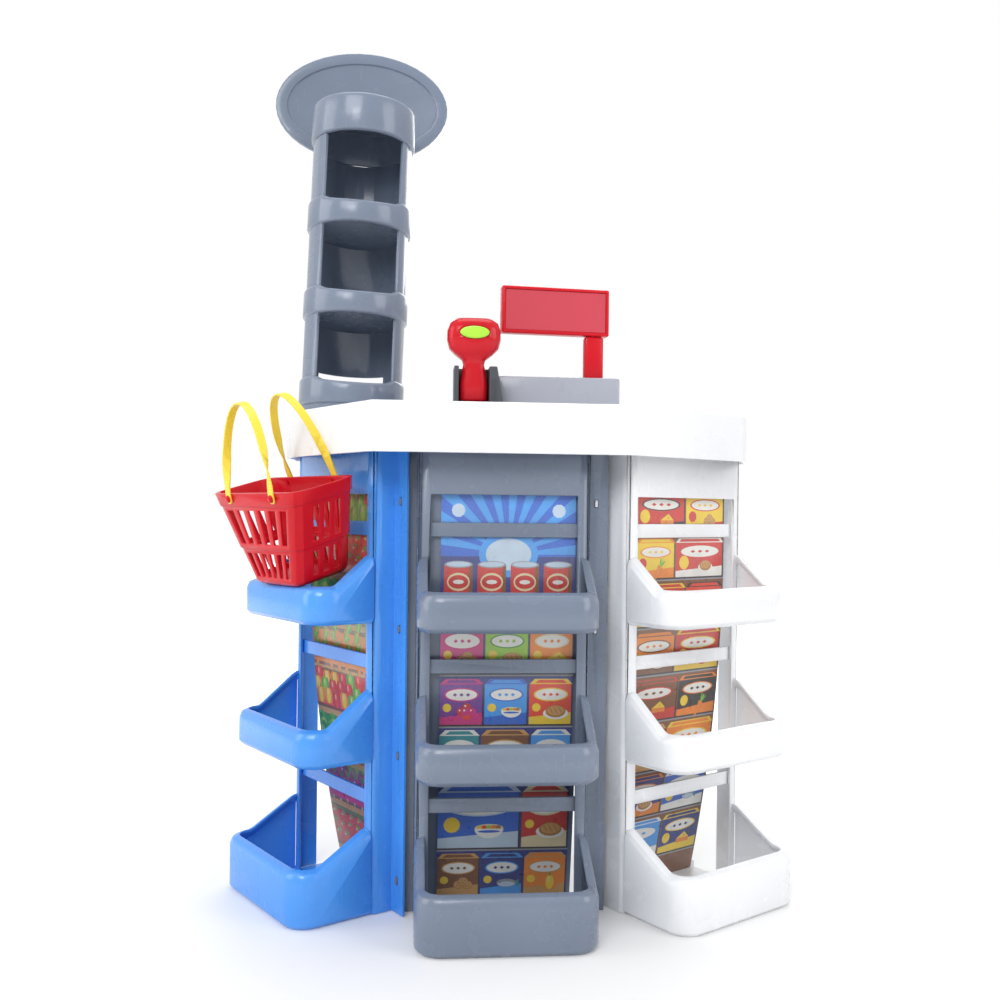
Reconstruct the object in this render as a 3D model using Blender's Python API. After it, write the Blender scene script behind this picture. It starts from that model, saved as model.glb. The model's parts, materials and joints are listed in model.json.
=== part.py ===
"""Toy grocery store: three stepped shelf bays round a white counter, with a shelf tower, a cash
register, a hand scanner in its holder and a shopping basket. Metres, +Z up, front towards -Y."""

import math

import bmesh
import bpy
from mathutils import Euler, Vector

# Clearance between pieces that touch
GAP = 0.0003

# Extra play where a sheet is slipped in or a piece slides
PLAY = 0.0001

# Shelf bays, each in its own frame: s across, p out towards the customer, z up
JUNCTION = 0.088
LEFT_TURN = math.radians(58)
RIGHT_TURN = math.radians(32)
BAY_HALF = 0.0755
BAY_WALL = 0.003
POST_WIDTH = 0.012
POST_FRONT = 0.022
POST_RADIUS = 0.008
FOOT_RISE = 0.0005
OPENING_TOP = 0.3694
WALL_BACK = -0.0025
RAIL_HEIGHT = 0.0126
RAIL_BACK = 0.015
RAIL_TOPS = (0.107, 0.2272, 0.3454)
BOSS_SIDE = 0.010
BOSS_HEIGHT = 0.013

# Bins: underside, front, lip and the height of the rim at the posts
BINS = (
    {"base": 0.0, "front": 0.0951, "lip": 0.0494, "rim": 0.076},
    {"base": 0.134, "front": 0.0873, "lip": 0.167, "rim": 0.197},
    {"base": 0.256, "front": 0.081, "lip": 0.2893, "rim": 0.316},
)
BIN_PROUD = 0.00015
BIN_CORNER = 0.022
BIN_EDGE = 0.004
RIM_WIDTH = 0.009
RIM_RADIUS = 0.008
RIM_DROP = 0.007
SHELF_HALF = 0.066

# Flanges that join the bays, and the hooks that pass through their slots
FLANGE_END = 0.094
HOOK_FLANGE_FRONT = -0.006
SLOT_PLACE = 0.0835
SLOT_WIDTH = 0.0036
SLOT_HEIGHT = 0.007
SLOT_HEIGHTS = (0.029, 0.139, 0.2505, 0.363)
HOOK_WIDTH = 0.0024
HOOK_HEIGHT = 0.006
HOOK_REACH = 0.0012
HOOK_ROOT = 0.0065

# Printed cards
CARD_HALF = 0.059
CARD_THICK = 0.0008
CARD_BEND = 0.330
CARD_FOOT = -0.024
CARD_DROP = 0.019
GREY_CARD_SHIFT = 0.004
CLIP_REACH = 0.050
CLIP_DROP = 0.020
CLIP_SIZE = 0.006
CLIP_THICK = 0.002
STOP_HEIGHT = 0.006

# Counter top: an inverted tray whose skirt stands in front of the bays
DECK_TOP = 0.447
DECK_THICK = 0.003
SKIRT_BOTTOM = 0.404
SKIRT_REACH = 0.050
COUNTER_RADIUS = 0.006
COUNTER_EDGE = 0.0015
COUNTER_BACK = 0.155
COUNTER_RIGHT = 0.245
COUNTER_LEFT = -0.200
FACET_LENGTH = 0.147
LEFT_FACET_LENGTH = 0.140
COUNTER_CHAMFER = 2.6
LOCATING_HEIGHT = 0.0016
LOCATING_RADIUS = 0.037

# Heights that hang from the counter top
CARD_TOP = DECK_TOP - CARD_DROP
CLIP_HEIGHT = CARD_TOP - CLIP_DROP

# Screws that hold the bays under the counter top
SCREW_HEAD_RADIUS = 0.0035
SCREW_HEAD_HEIGHT = 0.0018
SCREW_RADIUS = 0.0015
SCREW_LENGTH = 0.0125
BOTH_CORNERS = (("left", -1), ("right", 1))
RIGHT_CORNER = (("right", 1),)

# Shelf tower, in its own leaning frame
TOWER_PLACE = (-0.140, 0.101)
TOWER_LEAN_RIGHT = math.radians(2.2)
TOWER_LEAN_BACK = math.radians(2.9)
TOWER_TURN = math.radians(6)
TOWER_RADIUS = 0.048
TOWER_WALL = 0.003
TOWER_SINK = 0.012
SHELF_LIFT = 0.0004
ROW_SLACK = 0.001
TOWER_PITCH = 0.086
TOWER_LEVELS = 3
FLOOR_TOP = 0.0074
LIP_BOTTOM = 0.004
LIP_TOP = 0.031
LIP_DIP = 0.007
BACK_SILL = 0.0094
BACK_HEAD = 0.045
TOWER_TOP = 0.263
WINDOW_HALF = math.radians(50)
BACK_HALF = math.radians(45)
CAP_HEIGHT = 0.0355
CAP_FLAT = 0.0457

# Oval sign
SIGN_WIDTH = 0.176
SIGN_HEIGHT = 0.114
SIGN_RIM = 0.012
SIGN_THICK = 0.006
SIGN_RECESS = 0.002
SIGN_CENTRE = 0.326
SIGN_TURN = math.radians(6)
PAD_HALF = 0.012
PAD_HEIGHT = 0.014

# Cash register, in a frame at its front left foot: x right, y towards the clerk, z up
REGISTER_PLACE = (-0.004, 0.021)
REGISTER_WIDTH = 0.112
REGISTER_DEPTH = 0.092
REGISTER_HEIGHT = 0.031
REGISTER_LOW = 0.025
REGISTER_FLAT = 0.030
REGISTER_WALL = 0.0025
REGISTER_BEVEL = 0.002
BASE_THICK = 0.0025
GUIDE_THICK = 0.002
GUIDE_HEIGHT = 0.008
STOP_HALF = 0.010

# Keys, on the sloping face
KEY_WIDTH = 0.016
KEY_DEPTH = 0.010
KEY_RISE = 0.003
KEY_FLANGE = 0.001
KEY_TRAVEL = 0.0018
KEY_PITCH_X = 0.022
KEY_PITCH_Y = 0.0135
KEY_COLUMNS = 3
KEY_ROWS = 4
KEY_FIRST_ROW = 0.0095
KEY_NAMES = ("key_7", "key_8", "key_9", "key_4", "key_5", "key_6",
             "key_1", "key_2", "key_3", "key_0", "key_scan", "key_open")
BOARD_THICK = 0.0016
BOARD_MARGIN = 0.006
BOARD_EDGE = 0.003
BOARD_POST = 0.004
BOARD_POST_INSET = 0.001
BOARD_POST_FRONT = 0.006
BOARD_POST_BACK = 0.016

# Cash drawer
DRAWER_WIDTH = 0.080
DRAWER_BACK = 0.036
DRAWER_DEPTH = REGISTER_DEPTH - DRAWER_BACK
DRAWER_HEIGHT = 0.011
DRAWER_WALL = 0.002
PULL_WIDTH = 0.024
PULL_REACH = 0.004
PULL_THICK = 0.003

# Speaker and battery
SPEAKER_RADIUS = 0.013
SPEAKER_DEPTH = 0.004
SPEAKER_PLACE = (0.025, 0.0155)
SPEAKER_FOOT_NEAR = 0.010
SPEAKER_FOOT_FAR = 0.022
SPEAKER_FOOT_HALF = 0.004
CELL_RADIUS = 0.00525
CELL_LENGTH = 0.0445
CELL_LEFT = 0.032
CELL_ROWS = (0.0105, 0.0220)
DOOR_MARGIN = 0.002

# Customer display on its post
DISPLAY_PLACE = (0.054, 0.009)
DISPLAY_TURN = math.radians(5.7)
DISPLAY_WIDTH = 0.101
DISPLAY_HEIGHT = 0.043
DISPLAY_DEPTH = 0.012
DISPLAY_BASE = 0.071
DISPLAY_RIM = 0.003
PANEL_THICK = 0.0016
PANEL_RECESS = 0.0024
DISPLAY_POST_WIDTH = 0.018
DISPLAY_POST_DEPTH = 0.009
DISPLAY_POST_PLACE = 0.037

# Hand scanner and its holder, in a frame on the deck below the scanner
SCANNER_PLACE = (-0.027, 0.008)
CRADLE_LEFT = -0.0176
CRADLE_RIGHT = 0.0268
CRADLE_HALF_DEPTH = 0.012
CRADLE_HEIGHT = 0.0357
SOCKET_FLOOR = 0.0047
SOCKET_CLEAR = 0.0006
SCANNER_FOOT = 0.005
SCANNER_SECTIONS = (
    (0.0, 0.022, 0.013), (0.0015, 0.0252, 0.0165), (0.016, 0.0252, 0.0168), (0.027, 0.0215, 0.016),
    (0.033, 0.0186, 0.016), (0.037, 0.0210, 0.0175), (0.042, 0.034, 0.0235), (0.047, 0.044, 0.029),
    (0.055, 0.048, 0.032), (0.063, 0.0475, 0.032), (0.069, 0.043, 0.0285), (0.073, 0.034, 0.021),
)
SCANNER_SQUARE = 3.0
BUTTON_WIDTH = 0.026
BUTTON_HEIGHT = 0.011
BUTTON_CENTRE = 0.0597
BUTTON_FLOOR = 0.0120
BUTTON_TRAVEL = 0.0015
BUTTON_FACE = 0.0172
TRIGGER_WIDTH = 0.008
TRIGGER_LOW = 0.0330
TRIGGER_HIGH = 0.0410
TRIGGER_FLOOR = 0.0035
TRIGGER_TRAVEL = 0.0015
TRIGGER_FACE = 0.0125
LENS_WIDTH = 0.0194
LENS_HEIGHT = 0.0094
LENS_CENTRE = 0.0600
LENS_FLOOR = 0.0133
LENS_THICK = 0.0016

# Shopping basket, in a frame at the middle of its rim
BASKET_PLACE = (0.0111, 0.0800)
BASKET_TURN = math.radians(4.2)
BASKET_TIP = math.radians(15.8)
BASKET_LENGTH = 0.155
BASKET_WIDTH = 0.0605
BASKET_HEIGHT = 0.0852
BASKET_TAPER_LONG = 0.036
BASKET_TAPER_SHORT = 0.0005
BASKET_CORNER = 0.014
BASKET_WALL = 0.002
BASKET_FLOOR = 0.003
BASKET_STEP = 0.0012
BAND_HEIGHT = 0.012
STEP_FALL = 0.0008
UPPER_SLOTS = (0.047, 0.016)
LOWER_SLOTS = (0.078, 0.056)
LEDGE_DROP = 0.0515
LONG_SLOTS = 6
SHORT_SLOTS = 3
SLOT_SHARE = 0.56
TUB_CORNER_STEPS = 3

# Basket handles: flat straps riveted to the long sides
HANDLE_HALF = 0.0385
HANDLE_DROP = 0.0045
HANDLE_TAIL = 0.0045
HANDLE_RISE = 0.0825
HANDLE_WIDTH = 0.0078
HANDLE_THICK = 0.0016
HANDLE_LEAN = math.radians(9.2)
RIVET_RADIUS = 0.0015
RIVET_HEAD = 0.0036
RIVET_DOME = 0.0014
RIVET_FLARE = 0.0024
RIVET_FLARE_THICK = 0.0008


def material(name, colour, roughness=0.35, metallic=0.0):
    """A plain Principled material, made once for each name."""
    found = bpy.data.materials.get(name)
    if found:
        return found
    made = bpy.data.materials.new(name)
    made.use_nodes = True
    made.diffuse_color = (*colour, 1.0)
    shader = made.node_tree.nodes["Principled BSDF"]
    shader.inputs["Base Color"].default_value = (*colour, 1.0)
    shader.inputs["Roughness"].default_value = roughness
    shader.inputs["Metallic"].default_value = metallic
    return made


def sky_blue():
    return material("sky_blue_plastic", (0.05, 0.27, 0.80), 0.22)


def mid_grey():
    return material("grey_plastic", (0.30, 0.33, 0.37), 0.25)


def white():
    return material("white_plastic", (0.86, 0.88, 0.90), 0.22)


def light_grey():
    return material("light_grey_plastic", (0.62, 0.65, 0.68), 0.22)


def dark_grey():
    return material("dark_grey_plastic", (0.10, 0.11, 0.12), 0.4)


def strong_red():
    return material("red_plastic", (0.72, 0.02, 0.02), 0.25)


def pale_red():
    return material("display_face", (0.85, 0.12, 0.10), 0.3)


def yellow():
    return material("yellow_plastic", (0.95, 0.72, 0.02), 0.3)


def lime():
    return material("lime_plastic", (0.30, 0.70, 0.05), 0.3)


def steel():
    return material("zinc_steel", (0.60, 0.60, 0.62), 0.35, 1.0)


def clear_smoke():
    return material("smoked_window", (0.05, 0.03, 0.04), 0.08)


def printed_card(name, colour):
    return material(name, colour, 0.5)


def empty(name, parent=None, location=(0, 0, 0), rotation=(0, 0, 0)):
    """A frame that pieces are placed in."""
    frame = bpy.data.objects.new(name, None)
    bpy.context.scene.collection.objects.link(frame)
    frame.parent = parent
    frame.location = location
    frame.rotation_euler = rotation
    return frame


def solid(name, bm, surface, smooth=35):
    """An object at the origin from a bmesh, faces turned outwards."""
    bmesh.ops.remove_doubles(bm, verts=bm.verts, dist=1e-6)
    bmesh.ops.recalc_face_normals(bm, faces=bm.faces)
    mesh = bpy.data.meshes.new(name)
    bm.to_mesh(mesh)
    bm.free()
    mesh.materials.append(surface)
    if smooth:
        mesh.shade_smooth()
        mesh.set_sharp_from_angle(angle=math.radians(smooth))
    made = bpy.data.objects.new(name, mesh)
    bpy.context.scene.collection.objects.link(made)
    return made


def place(piece, parent, location=(0, 0, 0), rotation=(0, 0, 0)):
    piece.parent = parent
    piece.location = location
    piece.rotation_euler = rotation
    return piece


def combine(target, tool, operation):
    """Join to or cut from the target, while both lie in one plain frame, and drop the tool."""
    tool.display_type = "WIRE"
    tool.hide_render = True
    step = target.modifiers.new("combine", "BOOLEAN")
    step.object = tool
    step.operation = operation
    step.solver = "EXACT"
    bpy.context.view_layer.update()
    reading = target.evaluated_get(bpy.context.evaluated_depsgraph_get())
    mesh = bpy.data.meshes.new_from_object(reading)
    target.modifiers.clear()
    old = target.data
    target.data = mesh
    bpy.data.meshes.remove(old)
    bpy.data.objects.remove(tool)
    return target


def join(target, tool):
    return combine(target, tool, "UNION")


def cut(target, tool):
    return combine(target, tool, "DIFFERENCE")


def add_box(bm, low, high):
    """A box between two corners."""
    xs, ys, zs = zip(low, high)
    corners = [bm.verts.new((x, y, z)) for z in zs for y in ys for x in xs]
    for face in ((0, 2, 3, 1), (4, 5, 7, 6), (0, 1, 5, 4), (2, 6, 7, 3), (0, 4, 6, 2), (1, 3, 7, 5)):
        bm.faces.new([corners[i] for i in face])


def boxes(name, spans, surface):
    """One object of boxes that don't touch each other."""
    bm = bmesh.new()
    for low, high in spans:
        add_box(bm, low, high)
    return solid(name, bm, surface, smooth=0)


def bay_span(s, p, z):
    """The corners of a box given in a bay's frame, where p is -Y."""
    return (min(s), -max(p), min(z)), (max(s), -min(p), max(z))


def rings_to_solid(name, rings, surface, smooth=35):
    """A closed body through rings of equal length, with a flat face at each end."""
    bm = bmesh.new()
    layers = [[bm.verts.new(point) for point in ring] for ring in rings]
    for low, high in zip(layers, layers[1:]):
        for i in range(len(low)):
            j = (i + 1) % len(low)
            bm.faces.new((low[i], low[j], high[j], high[i]))
    bm.faces.new(layers[0])
    bm.faces.new(layers[-1])
    return solid(name, bm, surface, smooth)


def turned(name, profile, surface, steps=24, smooth=35):
    """A body of revolution about Z from (radius, height) points, from its foot to its top."""
    rings = []
    for radius, height in profile:
        angles = [2 * math.pi * i / steps for i in range(steps)]
        rings.append([(radius * math.cos(a), radius * math.sin(a), height) for a in angles])
    return rings_to_solid(name, rings, surface, smooth)


def rounded(corners, radii, inset=0.0, steps=4):
    """Plan points of a polygon with rounded corners, moved inwards by the inset.

    The corners run anticlockwise. A radius of 0 leaves one sharp point."""
    count = len(corners)
    points = []
    for i, (corner, radius) in enumerate(zip(corners, radii)):
        here = Vector(corner)
        back = (Vector(corners[i - 1]) - here).normalized()
        ahead = (Vector(corners[(i + 1) % count]) - here).normalized()
        convex = (-back).x * ahead.y - (-back).y * ahead.x > 0
        half = math.acos(max(-1.0, min(1.0, back.dot(ahead)))) / 2
        middle = (back + ahead).normalized()
        sign = 1.0 if convex else -1.0
        moved = here + middle * (sign * inset / math.sin(half))
        if radius <= 0:
            points.append(tuple(moved))
            continue
        bend = max(radius - sign * inset, 0.0002)
        centre = moved + middle * (bend / math.sin(half))
        first = moved + back * (bend / math.tan(half)) - centre
        sweep = (math.pi - 2 * half) * sign
        for k in range(steps + 1):
            angle = sweep * k / steps
            turned_arm = Vector((
                first.x * math.cos(angle) - first.y * math.sin(angle),
                first.x * math.sin(angle) + first.y * math.cos(angle),
            ))
            points.append(tuple(centre + turned_arm))
    return points


def prism(name, outline, low, high, surface, smooth=35):
    """An upright body on a plan outline."""
    rings = [[(x, y, z) for x, y in outline] for z in (low, high)]
    return rings_to_solid(name, rings, surface, smooth)


def wall_grid(name, outer, inner, hole, surface, floor=False, smooth=35):
    """A wall between two stacks of rings, open in the cells where hole(column, row) holds.

    With a floor, the lowest outer ring and the second inner ring are closed by flat faces."""
    bm = bmesh.new()
    shells = [[[bm.verts.new(point) for point in ring] for ring in stack] for stack in (outer, inner)]
    rows = len(outer) - 1
    columns = len(outer[0])

    def is_open(column, row):
        if row < 0 or row >= rows:
            return True
        return hole(column % columns, row)

    def corner(shell, row, column):
        return shells[shell][row][column % columns]

    for row in range(rows):
        for column in range(columns):
            if is_open(column, row):
                continue
            sealed = floor and row == 0
            near, far = column, column + 1
            for shell in (0, 1):
                if shell == 1 and sealed:
                    continue
                bm.faces.new((corner(shell, row, near), corner(shell, row, far),
                              corner(shell, row + 1, far), corner(shell, row + 1, near)))
            if is_open(column, row + 1):
                bm.faces.new((corner(0, row + 1, near), corner(0, row + 1, far),
                              corner(1, row + 1, far), corner(1, row + 1, near)))
            if is_open(column, row - 1) and not sealed:
                bm.faces.new((corner(0, row, near), corner(0, row, far),
                              corner(1, row, far), corner(1, row, near)))
            for side, beyond in ((near, column - 1), (far, column + 1)):
                if is_open(beyond, row):
                    bm.faces.new((corner(0, row, side), corner(0, row + 1, side),
                                  corner(1, row + 1, side), corner(1, row, side)))
    if floor:
        bm.faces.new(shells[0][0])
        bm.faces.new(shells[1][1])
        loose = [vert for vert in bm.verts if not vert.link_faces]
        bmesh.ops.delete(bm, geom=loose, context="VERTS")
    return solid(name, bm, surface, smooth)


# Cards

def card_front(z):
    """How far out the card's printed face stands at a height."""
    straight = RAIL_BACK - GAP - PLAY
    if z >= CARD_BEND:
        return straight
    foot = BINS[0]["base"] + BAY_WALL + GAP
    share = (CARD_BEND - z) / (CARD_BEND - foot)
    return straight + (CARD_FOOT - straight) * share * share


def printed_sheet(name, frame, shift, surface):
    """A thin card that stands behind the rails and curves back to its foot."""
    foot = BINS[0]["base"] + BAY_WALL + GAP
    bends = 12
    heights = [foot + (CARD_BEND - foot) * i / bends for i in range(bends + 1)] + [CARD_TOP]
    front = [(card_front(z), z) for z in heights]
    back = [(p - CARD_THICK, z) for p, z in reversed(front)]
    rings = [[(s + shift, -p, z) for p, z in front + back] for s in (-CARD_HALF, CARD_HALF)]
    return place(rings_to_solid(name, rings, surface), frame)


# Bays

def bin_stations(front):
    """Plan stations round a bin from its left back to its right back, each with its inward normal."""
    half = BAY_HALF + BIN_PROUD
    back = POST_FRONT - BAY_WALL / 2
    straight = front - BIN_CORNER
    shares = (0.0, 0.05, 0.12, 0.5, 0.88, 0.95, 1.0)
    side = [back] + [POST_FRONT + (straight - POST_FRONT) * share for share in shares]
    left = [((-half, -p), (1.0, 0.0), p) for p in side]
    steps = 6
    for i in range(1, steps + 1):
        angle = math.pi / 2 * i / steps
        place_x = -half + BIN_CORNER - BIN_CORNER * math.cos(angle)
        place_p = straight + BIN_CORNER * math.sin(angle)
        left.append(((place_x, -place_p), (math.cos(angle), math.sin(angle)), place_p))
    right = [((-x, y), (-nx, ny), p) for (x, y), (nx, ny), p in reversed(left)]
    return left + right


def rim_height(store_bin, p):
    """The height of a bin's rim, level round the front and rising along the sides to the posts."""
    reach = store_bin["front"] - BIN_CORNER - POST_FRONT
    share = min(1.0, max(0.0, (p - POST_FRONT) / reach))
    bend = 0.12
    if share < bend:
        eased = share * share / (2 * bend)
    elif share > 1 - bend:
        eased = 1 - bend - (1 - share) * (1 - share) / (2 * bend)
    else:
        eased = share - bend / 2
    fall = eased / (1 - bend)
    return store_bin["rim"] + (store_bin["lip"] - store_bin["rim"]) * fall


def bin_shell(store_bin, surface):
    """One bin: outer wall, rolled rim, inner wall and floor, open at the back."""
    base = store_bin["base"]
    bm = bmesh.new()
    sections = []
    for (x, y), (nx, ny), p in bin_stations(store_bin["front"]):
        top = rim_height(store_bin, p)
        easing = RIM_RADIUS * (1 - math.sqrt(0.5))
        rows = (
            (BIN_EDGE, base),
            (0.0, base + BIN_EDGE),
            (0.0, top - RIM_RADIUS),
            (easing, top - easing),
            (RIM_RADIUS, top),
            (RIM_WIDTH, top),
            (RIM_WIDTH, top - BAY_WALL),
            (BAY_WALL, top - RIM_DROP - BAY_WALL),
            (BAY_WALL, base + BAY_WALL),
        )
        sections.append([bm.verts.new((x + nx * inset, y + ny * inset, z)) for inset, z in rows])
    for near, far in zip(sections, sections[1:]):
        for i in range(len(near) - 1):
            bm.faces.new((near[i], near[i + 1], far[i + 1], far[i]))
    bm.faces.new([section[0] for section in sections])
    bm.faces.new([section[-1] for section in sections])
    bm.faces.new(sections[0] + list(reversed(sections[-1])))
    return solid("bin", bm, surface)


def side_profile(hand, flange, flange_front):
    """The plan of one post with its side wall and flange; hand is -1 on the left, 1 on the right."""
    inner = BAY_HALF - BAY_WALL
    post = BAY_HALF - POST_WIDTH
    behind = POST_FRONT - BAY_WALL
    flange_back = flange_front + WALL_BACK
    points = [(post, behind), (post, POST_FRONT), (BAY_HALF, POST_FRONT)]
    radii = [0.0, 0.0, POST_RADIUS]
    if flange:
        points += [(BAY_HALF, flange_front), (flange, flange_front), (flange, flange_back)]
        radii += [0.0, 0.0, 0.0]
        points += [(inner, flange_back), (inner, behind)]
    else:
        points += [(BAY_HALF, WALL_BACK), (inner, WALL_BACK), (inner, behind)]
        radii += [0.0]
    radii += [0.0, POST_RADIUS - BAY_WALL]
    outline = [(hand * s, -p) for s, p in points]
    if hand > 0:
        outline.reverse()
        radii.reverse()
    turn = sum(a[0] * b[1] - b[0] * a[1] for a, b in zip(outline, outline[1:] + outline[:1]))
    if turn < 0:
        outline.reverse()
        radii.reverse()
    return rounded(outline, radii)


def hook_flange_end(turn):
    """Where a hooked flange ends, just behind the neighbour's slotted flange."""
    clear = -WALL_BACK + GAP + PLAY
    return JUNCTION - (clear + HOOK_FLANGE_FRONT * math.cos(turn)) / math.sin(turn)


def hooks(turn, surface):
    """The hooks in the neighbour's frame, turned into this bay's frame about the junction."""
    bm = bmesh.new()
    s = SLOT_PLACE - JUNCTION
    for height in SLOT_HEIGHTS:
        add_box(bm, (s - HOOK_WIDTH / 2, -HOOK_REACH, height - HOOK_HEIGHT / 2),
                (s + HOOK_WIDTH / 2, HOOK_ROOT, height + HOOK_HEIGHT / 2))
    bmesh.ops.rotate(bm, verts=bm.verts, cent=(0, 0, 0), matrix=Euler((0, 0, -turn)).to_matrix())
    bmesh.ops.translate(bm, verts=bm.verts, vec=(-JUNCTION, 0, 0))
    return solid("hooks", bm, surface, smooth=0)


def bay(name, frame, surface, screwed, left_turn=None, slotted=False):
    """One moulded bay: posts, side walls, top panel, rails, three bins and its joining flanges."""
    top = DECK_TOP - DECK_THICK - GAP
    inner = BAY_HALF - BAY_WALL
    bite = BAY_WALL / 4
    left_end = hook_flange_end(left_turn) if left_turn else 0.0
    left_front = HOOK_FLANGE_FRONT if left_turn else 0.0
    right_end = FLANGE_END if slotted else 0.0
    body = prism(name, side_profile(-1, left_end, left_front), FOOT_RISE, top, surface)
    join(body, prism("side", side_profile(1, right_end, 0.0), FOOT_RISE, top, surface))
    post = BAY_HALF - POST_WIDTH
    behind = POST_FRONT - BAY_WALL
    panel = bay_span((-post - bite, post + bite), (behind, POST_FRONT), (OPENING_TOP, top))
    join(body, boxes("panel", [panel], surface))
    rail_front = RAIL_BACK + BAY_WALL
    rails = [bay_span((-inner - bite, inner + bite), (RAIL_BACK, rail_front), (z - RAIL_HEIGHT, z))
             for z in RAIL_TOPS]
    join(body, boxes("rails", rails, surface))
    boss_low = inner - BOSS_SIDE
    for side, hand in screwed:
        corner = bay_span((hand * boss_low, hand * (inner + bite)), (behind - BOSS_SIDE, behind + bite),
                          (top - BOSS_HEIGHT, top))
        join(body, boxes("boss", [corner], surface))
    for hand in (-1, 1):
        clip_front = card_front(CLIP_HEIGHT) - CARD_THICK - GAP
        clip = bay_span((hand * CLIP_REACH, hand * (inner + bite)), (clip_front - CLIP_THICK, clip_front),
                        (CLIP_HEIGHT - CLIP_SIZE / 2, CLIP_HEIGHT + CLIP_SIZE / 2))
        join(body, boxes("clip", [clip], surface))
    for store_bin in BINS:
        join(body, bin_shell(store_bin, surface))
        join(body, shelf_plate(store_bin, surface))
    if slotted:
        slots = [bay_span((SLOT_PLACE - SLOT_WIDTH / 2, SLOT_PLACE + SLOT_WIDTH / 2), (-0.02, 0.02),
                          (z - SLOT_HEIGHT / 2, z + SLOT_HEIGHT / 2)) for z in SLOT_HEIGHTS]
        cut(body, boxes("slots", slots, surface))
    if left_turn:
        join(body, hooks(left_turn, surface))
    holes = bmesh.new()
    for side, hand in screwed:
        x, y = screw_place(hand)
        shank_hole(holes, (x, y), top - SCREW_LENGTH, top + GAP)
    cut(body, solid("screw_holes", holes, surface, smooth=0))
    return place(body, frame)


def shelf_plate(store_bin, surface):
    """The floor of a bin carried back to the card, with a stop behind the card's foot on the lowest."""
    low = store_bin["base"] + FOOT_RISE
    high = store_bin["base"] + BAY_WALL - FOOT_RISE / 2
    front = POST_FRONT + BAY_WALL
    lowest = store_bin is BINS[0]
    if not lowest:
        back = card_front(high) + GAP + PLAY
        return boxes("shelf", [bay_span((-SHELF_HALF, SHELF_HALF), (back, front), (low, high))], surface)
    stop_front = CARD_FOOT - CARD_THICK - GAP
    back = stop_front - CLIP_THICK
    outline = [(front, low), (front, high), (stop_front, high), (stop_front, high + STOP_HEIGHT),
               (back, high + STOP_HEIGHT), (back, low)]
    rings = [[(s, -p, z) for p, z in outline] for s in (-SHELF_HALF, SHELF_HALF)]
    return rings_to_solid("shelf", rings, surface, smooth=0)


def screw_place(hand):
    """The plan place of a bay's screw in the bay's frame."""
    middle = BOSS_SIDE / 2
    return hand * (BAY_HALF - BAY_WALL - middle), -(POST_FRONT - BAY_WALL - middle)


def shank_hole(bm, centre, low, high, radius=SCREW_RADIUS + GAP, steps=12):
    """An upright round cutter in a bmesh."""
    made = bmesh.ops.create_cone(bm, cap_ends=True, segments=steps, radius1=radius, radius2=radius,
                                 depth=high - low)
    bmesh.ops.translate(bm, verts=made["verts"], vec=(centre[0], centre[1], (low + high) / 2))


def screw(name, frame, x, y):
    """A pan head screw that stands on the counter top."""
    head = DECK_TOP + GAP
    tip = head - SCREW_LENGTH
    profile = [
        (SCREW_RADIUS * 0.5, tip),
        (SCREW_RADIUS, tip + SCREW_RADIUS),
        (SCREW_RADIUS, head),
        (SCREW_HEAD_RADIUS, head),
        (SCREW_HEAD_RADIUS, head + SCREW_HEAD_HEIGHT * 0.5),
        (SCREW_HEAD_RADIUS * 0.6, head + SCREW_HEAD_HEIGHT),
    ]
    return place(turned(name, profile, steel(), steps=10), frame, (x, y, 0))


# Counter top

def across(turn):
    """The direction across a bay to its right, in plan."""
    return Vector((math.cos(turn), math.sin(turn)))


def counter_corners():
    """The counter's plan, anticlockwise: the skirt runs parallel to the three bays."""
    front_left = Vector((-JUNCTION - SKIRT_REACH * math.tan(LEFT_TURN / 2), -SKIRT_REACH))
    front_right = Vector((JUNCTION + SKIRT_REACH * math.tan(RIGHT_TURN / 2), -SKIRT_REACH))
    left = front_left - across(-LEFT_TURN) * LEFT_FACET_LENGTH
    right = front_right + across(RIGHT_TURN) * FACET_LENGTH
    right_turn = Vector((COUNTER_RIGHT, right.y + (COUNTER_RIGHT - right.x) * COUNTER_CHAMFER))
    left_turn = Vector((COUNTER_LEFT, left.y + (left.x - COUNTER_LEFT) * COUNTER_CHAMFER))
    return [tuple(front_left), tuple(front_right), tuple(right), tuple(right_turn),
            (COUNTER_RIGHT, COUNTER_BACK), (COUNTER_LEFT, COUNTER_BACK), tuple(left_turn), tuple(left)]


def counter(frames, root):
    """The counter top, with screw holes over the bays and a locating disc under the tower."""
    corners = counter_corners()
    radii = [COUNTER_RADIUS] * len(corners)
    underside = DECK_TOP - DECK_THICK
    rows = (
        (DECK_THICK, underside),
        (DECK_THICK, SKIRT_BOTTOM),
        (0.0, SKIRT_BOTTOM),
        (0.0, DECK_TOP - COUNTER_EDGE),
        (COUNTER_EDGE * 0.3, DECK_TOP - COUNTER_EDGE * 0.3),
        (COUNTER_EDGE, DECK_TOP),
    )
    rings = [[(x, y, z) for x, y in rounded(corners, radii, inset)] for inset, z in rows]
    tray = rings_to_solid("counter_top", rings, white())
    disc = [(LOCATING_RADIUS, DECK_TOP - DECK_THICK / 2), (LOCATING_RADIUS, DECK_TOP + LOCATING_HEIGHT)]
    locating = turned("disc", disc, white())
    locating.location = (*TOWER_PLACE, 0)
    join(tray, locating)
    holes = bmesh.new()
    for name, frame, screwed in frames:
        for side, hand in screwed:
            centre = frame.matrix_world @ Vector((*screw_place(hand), 0))
            shank_hole(holes, centre, underside - 0.001, DECK_TOP + 0.001)
    cut(tray, solid("screw_holes", holes, white(), smooth=0))
    return place(tray, root)


# Tower

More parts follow.
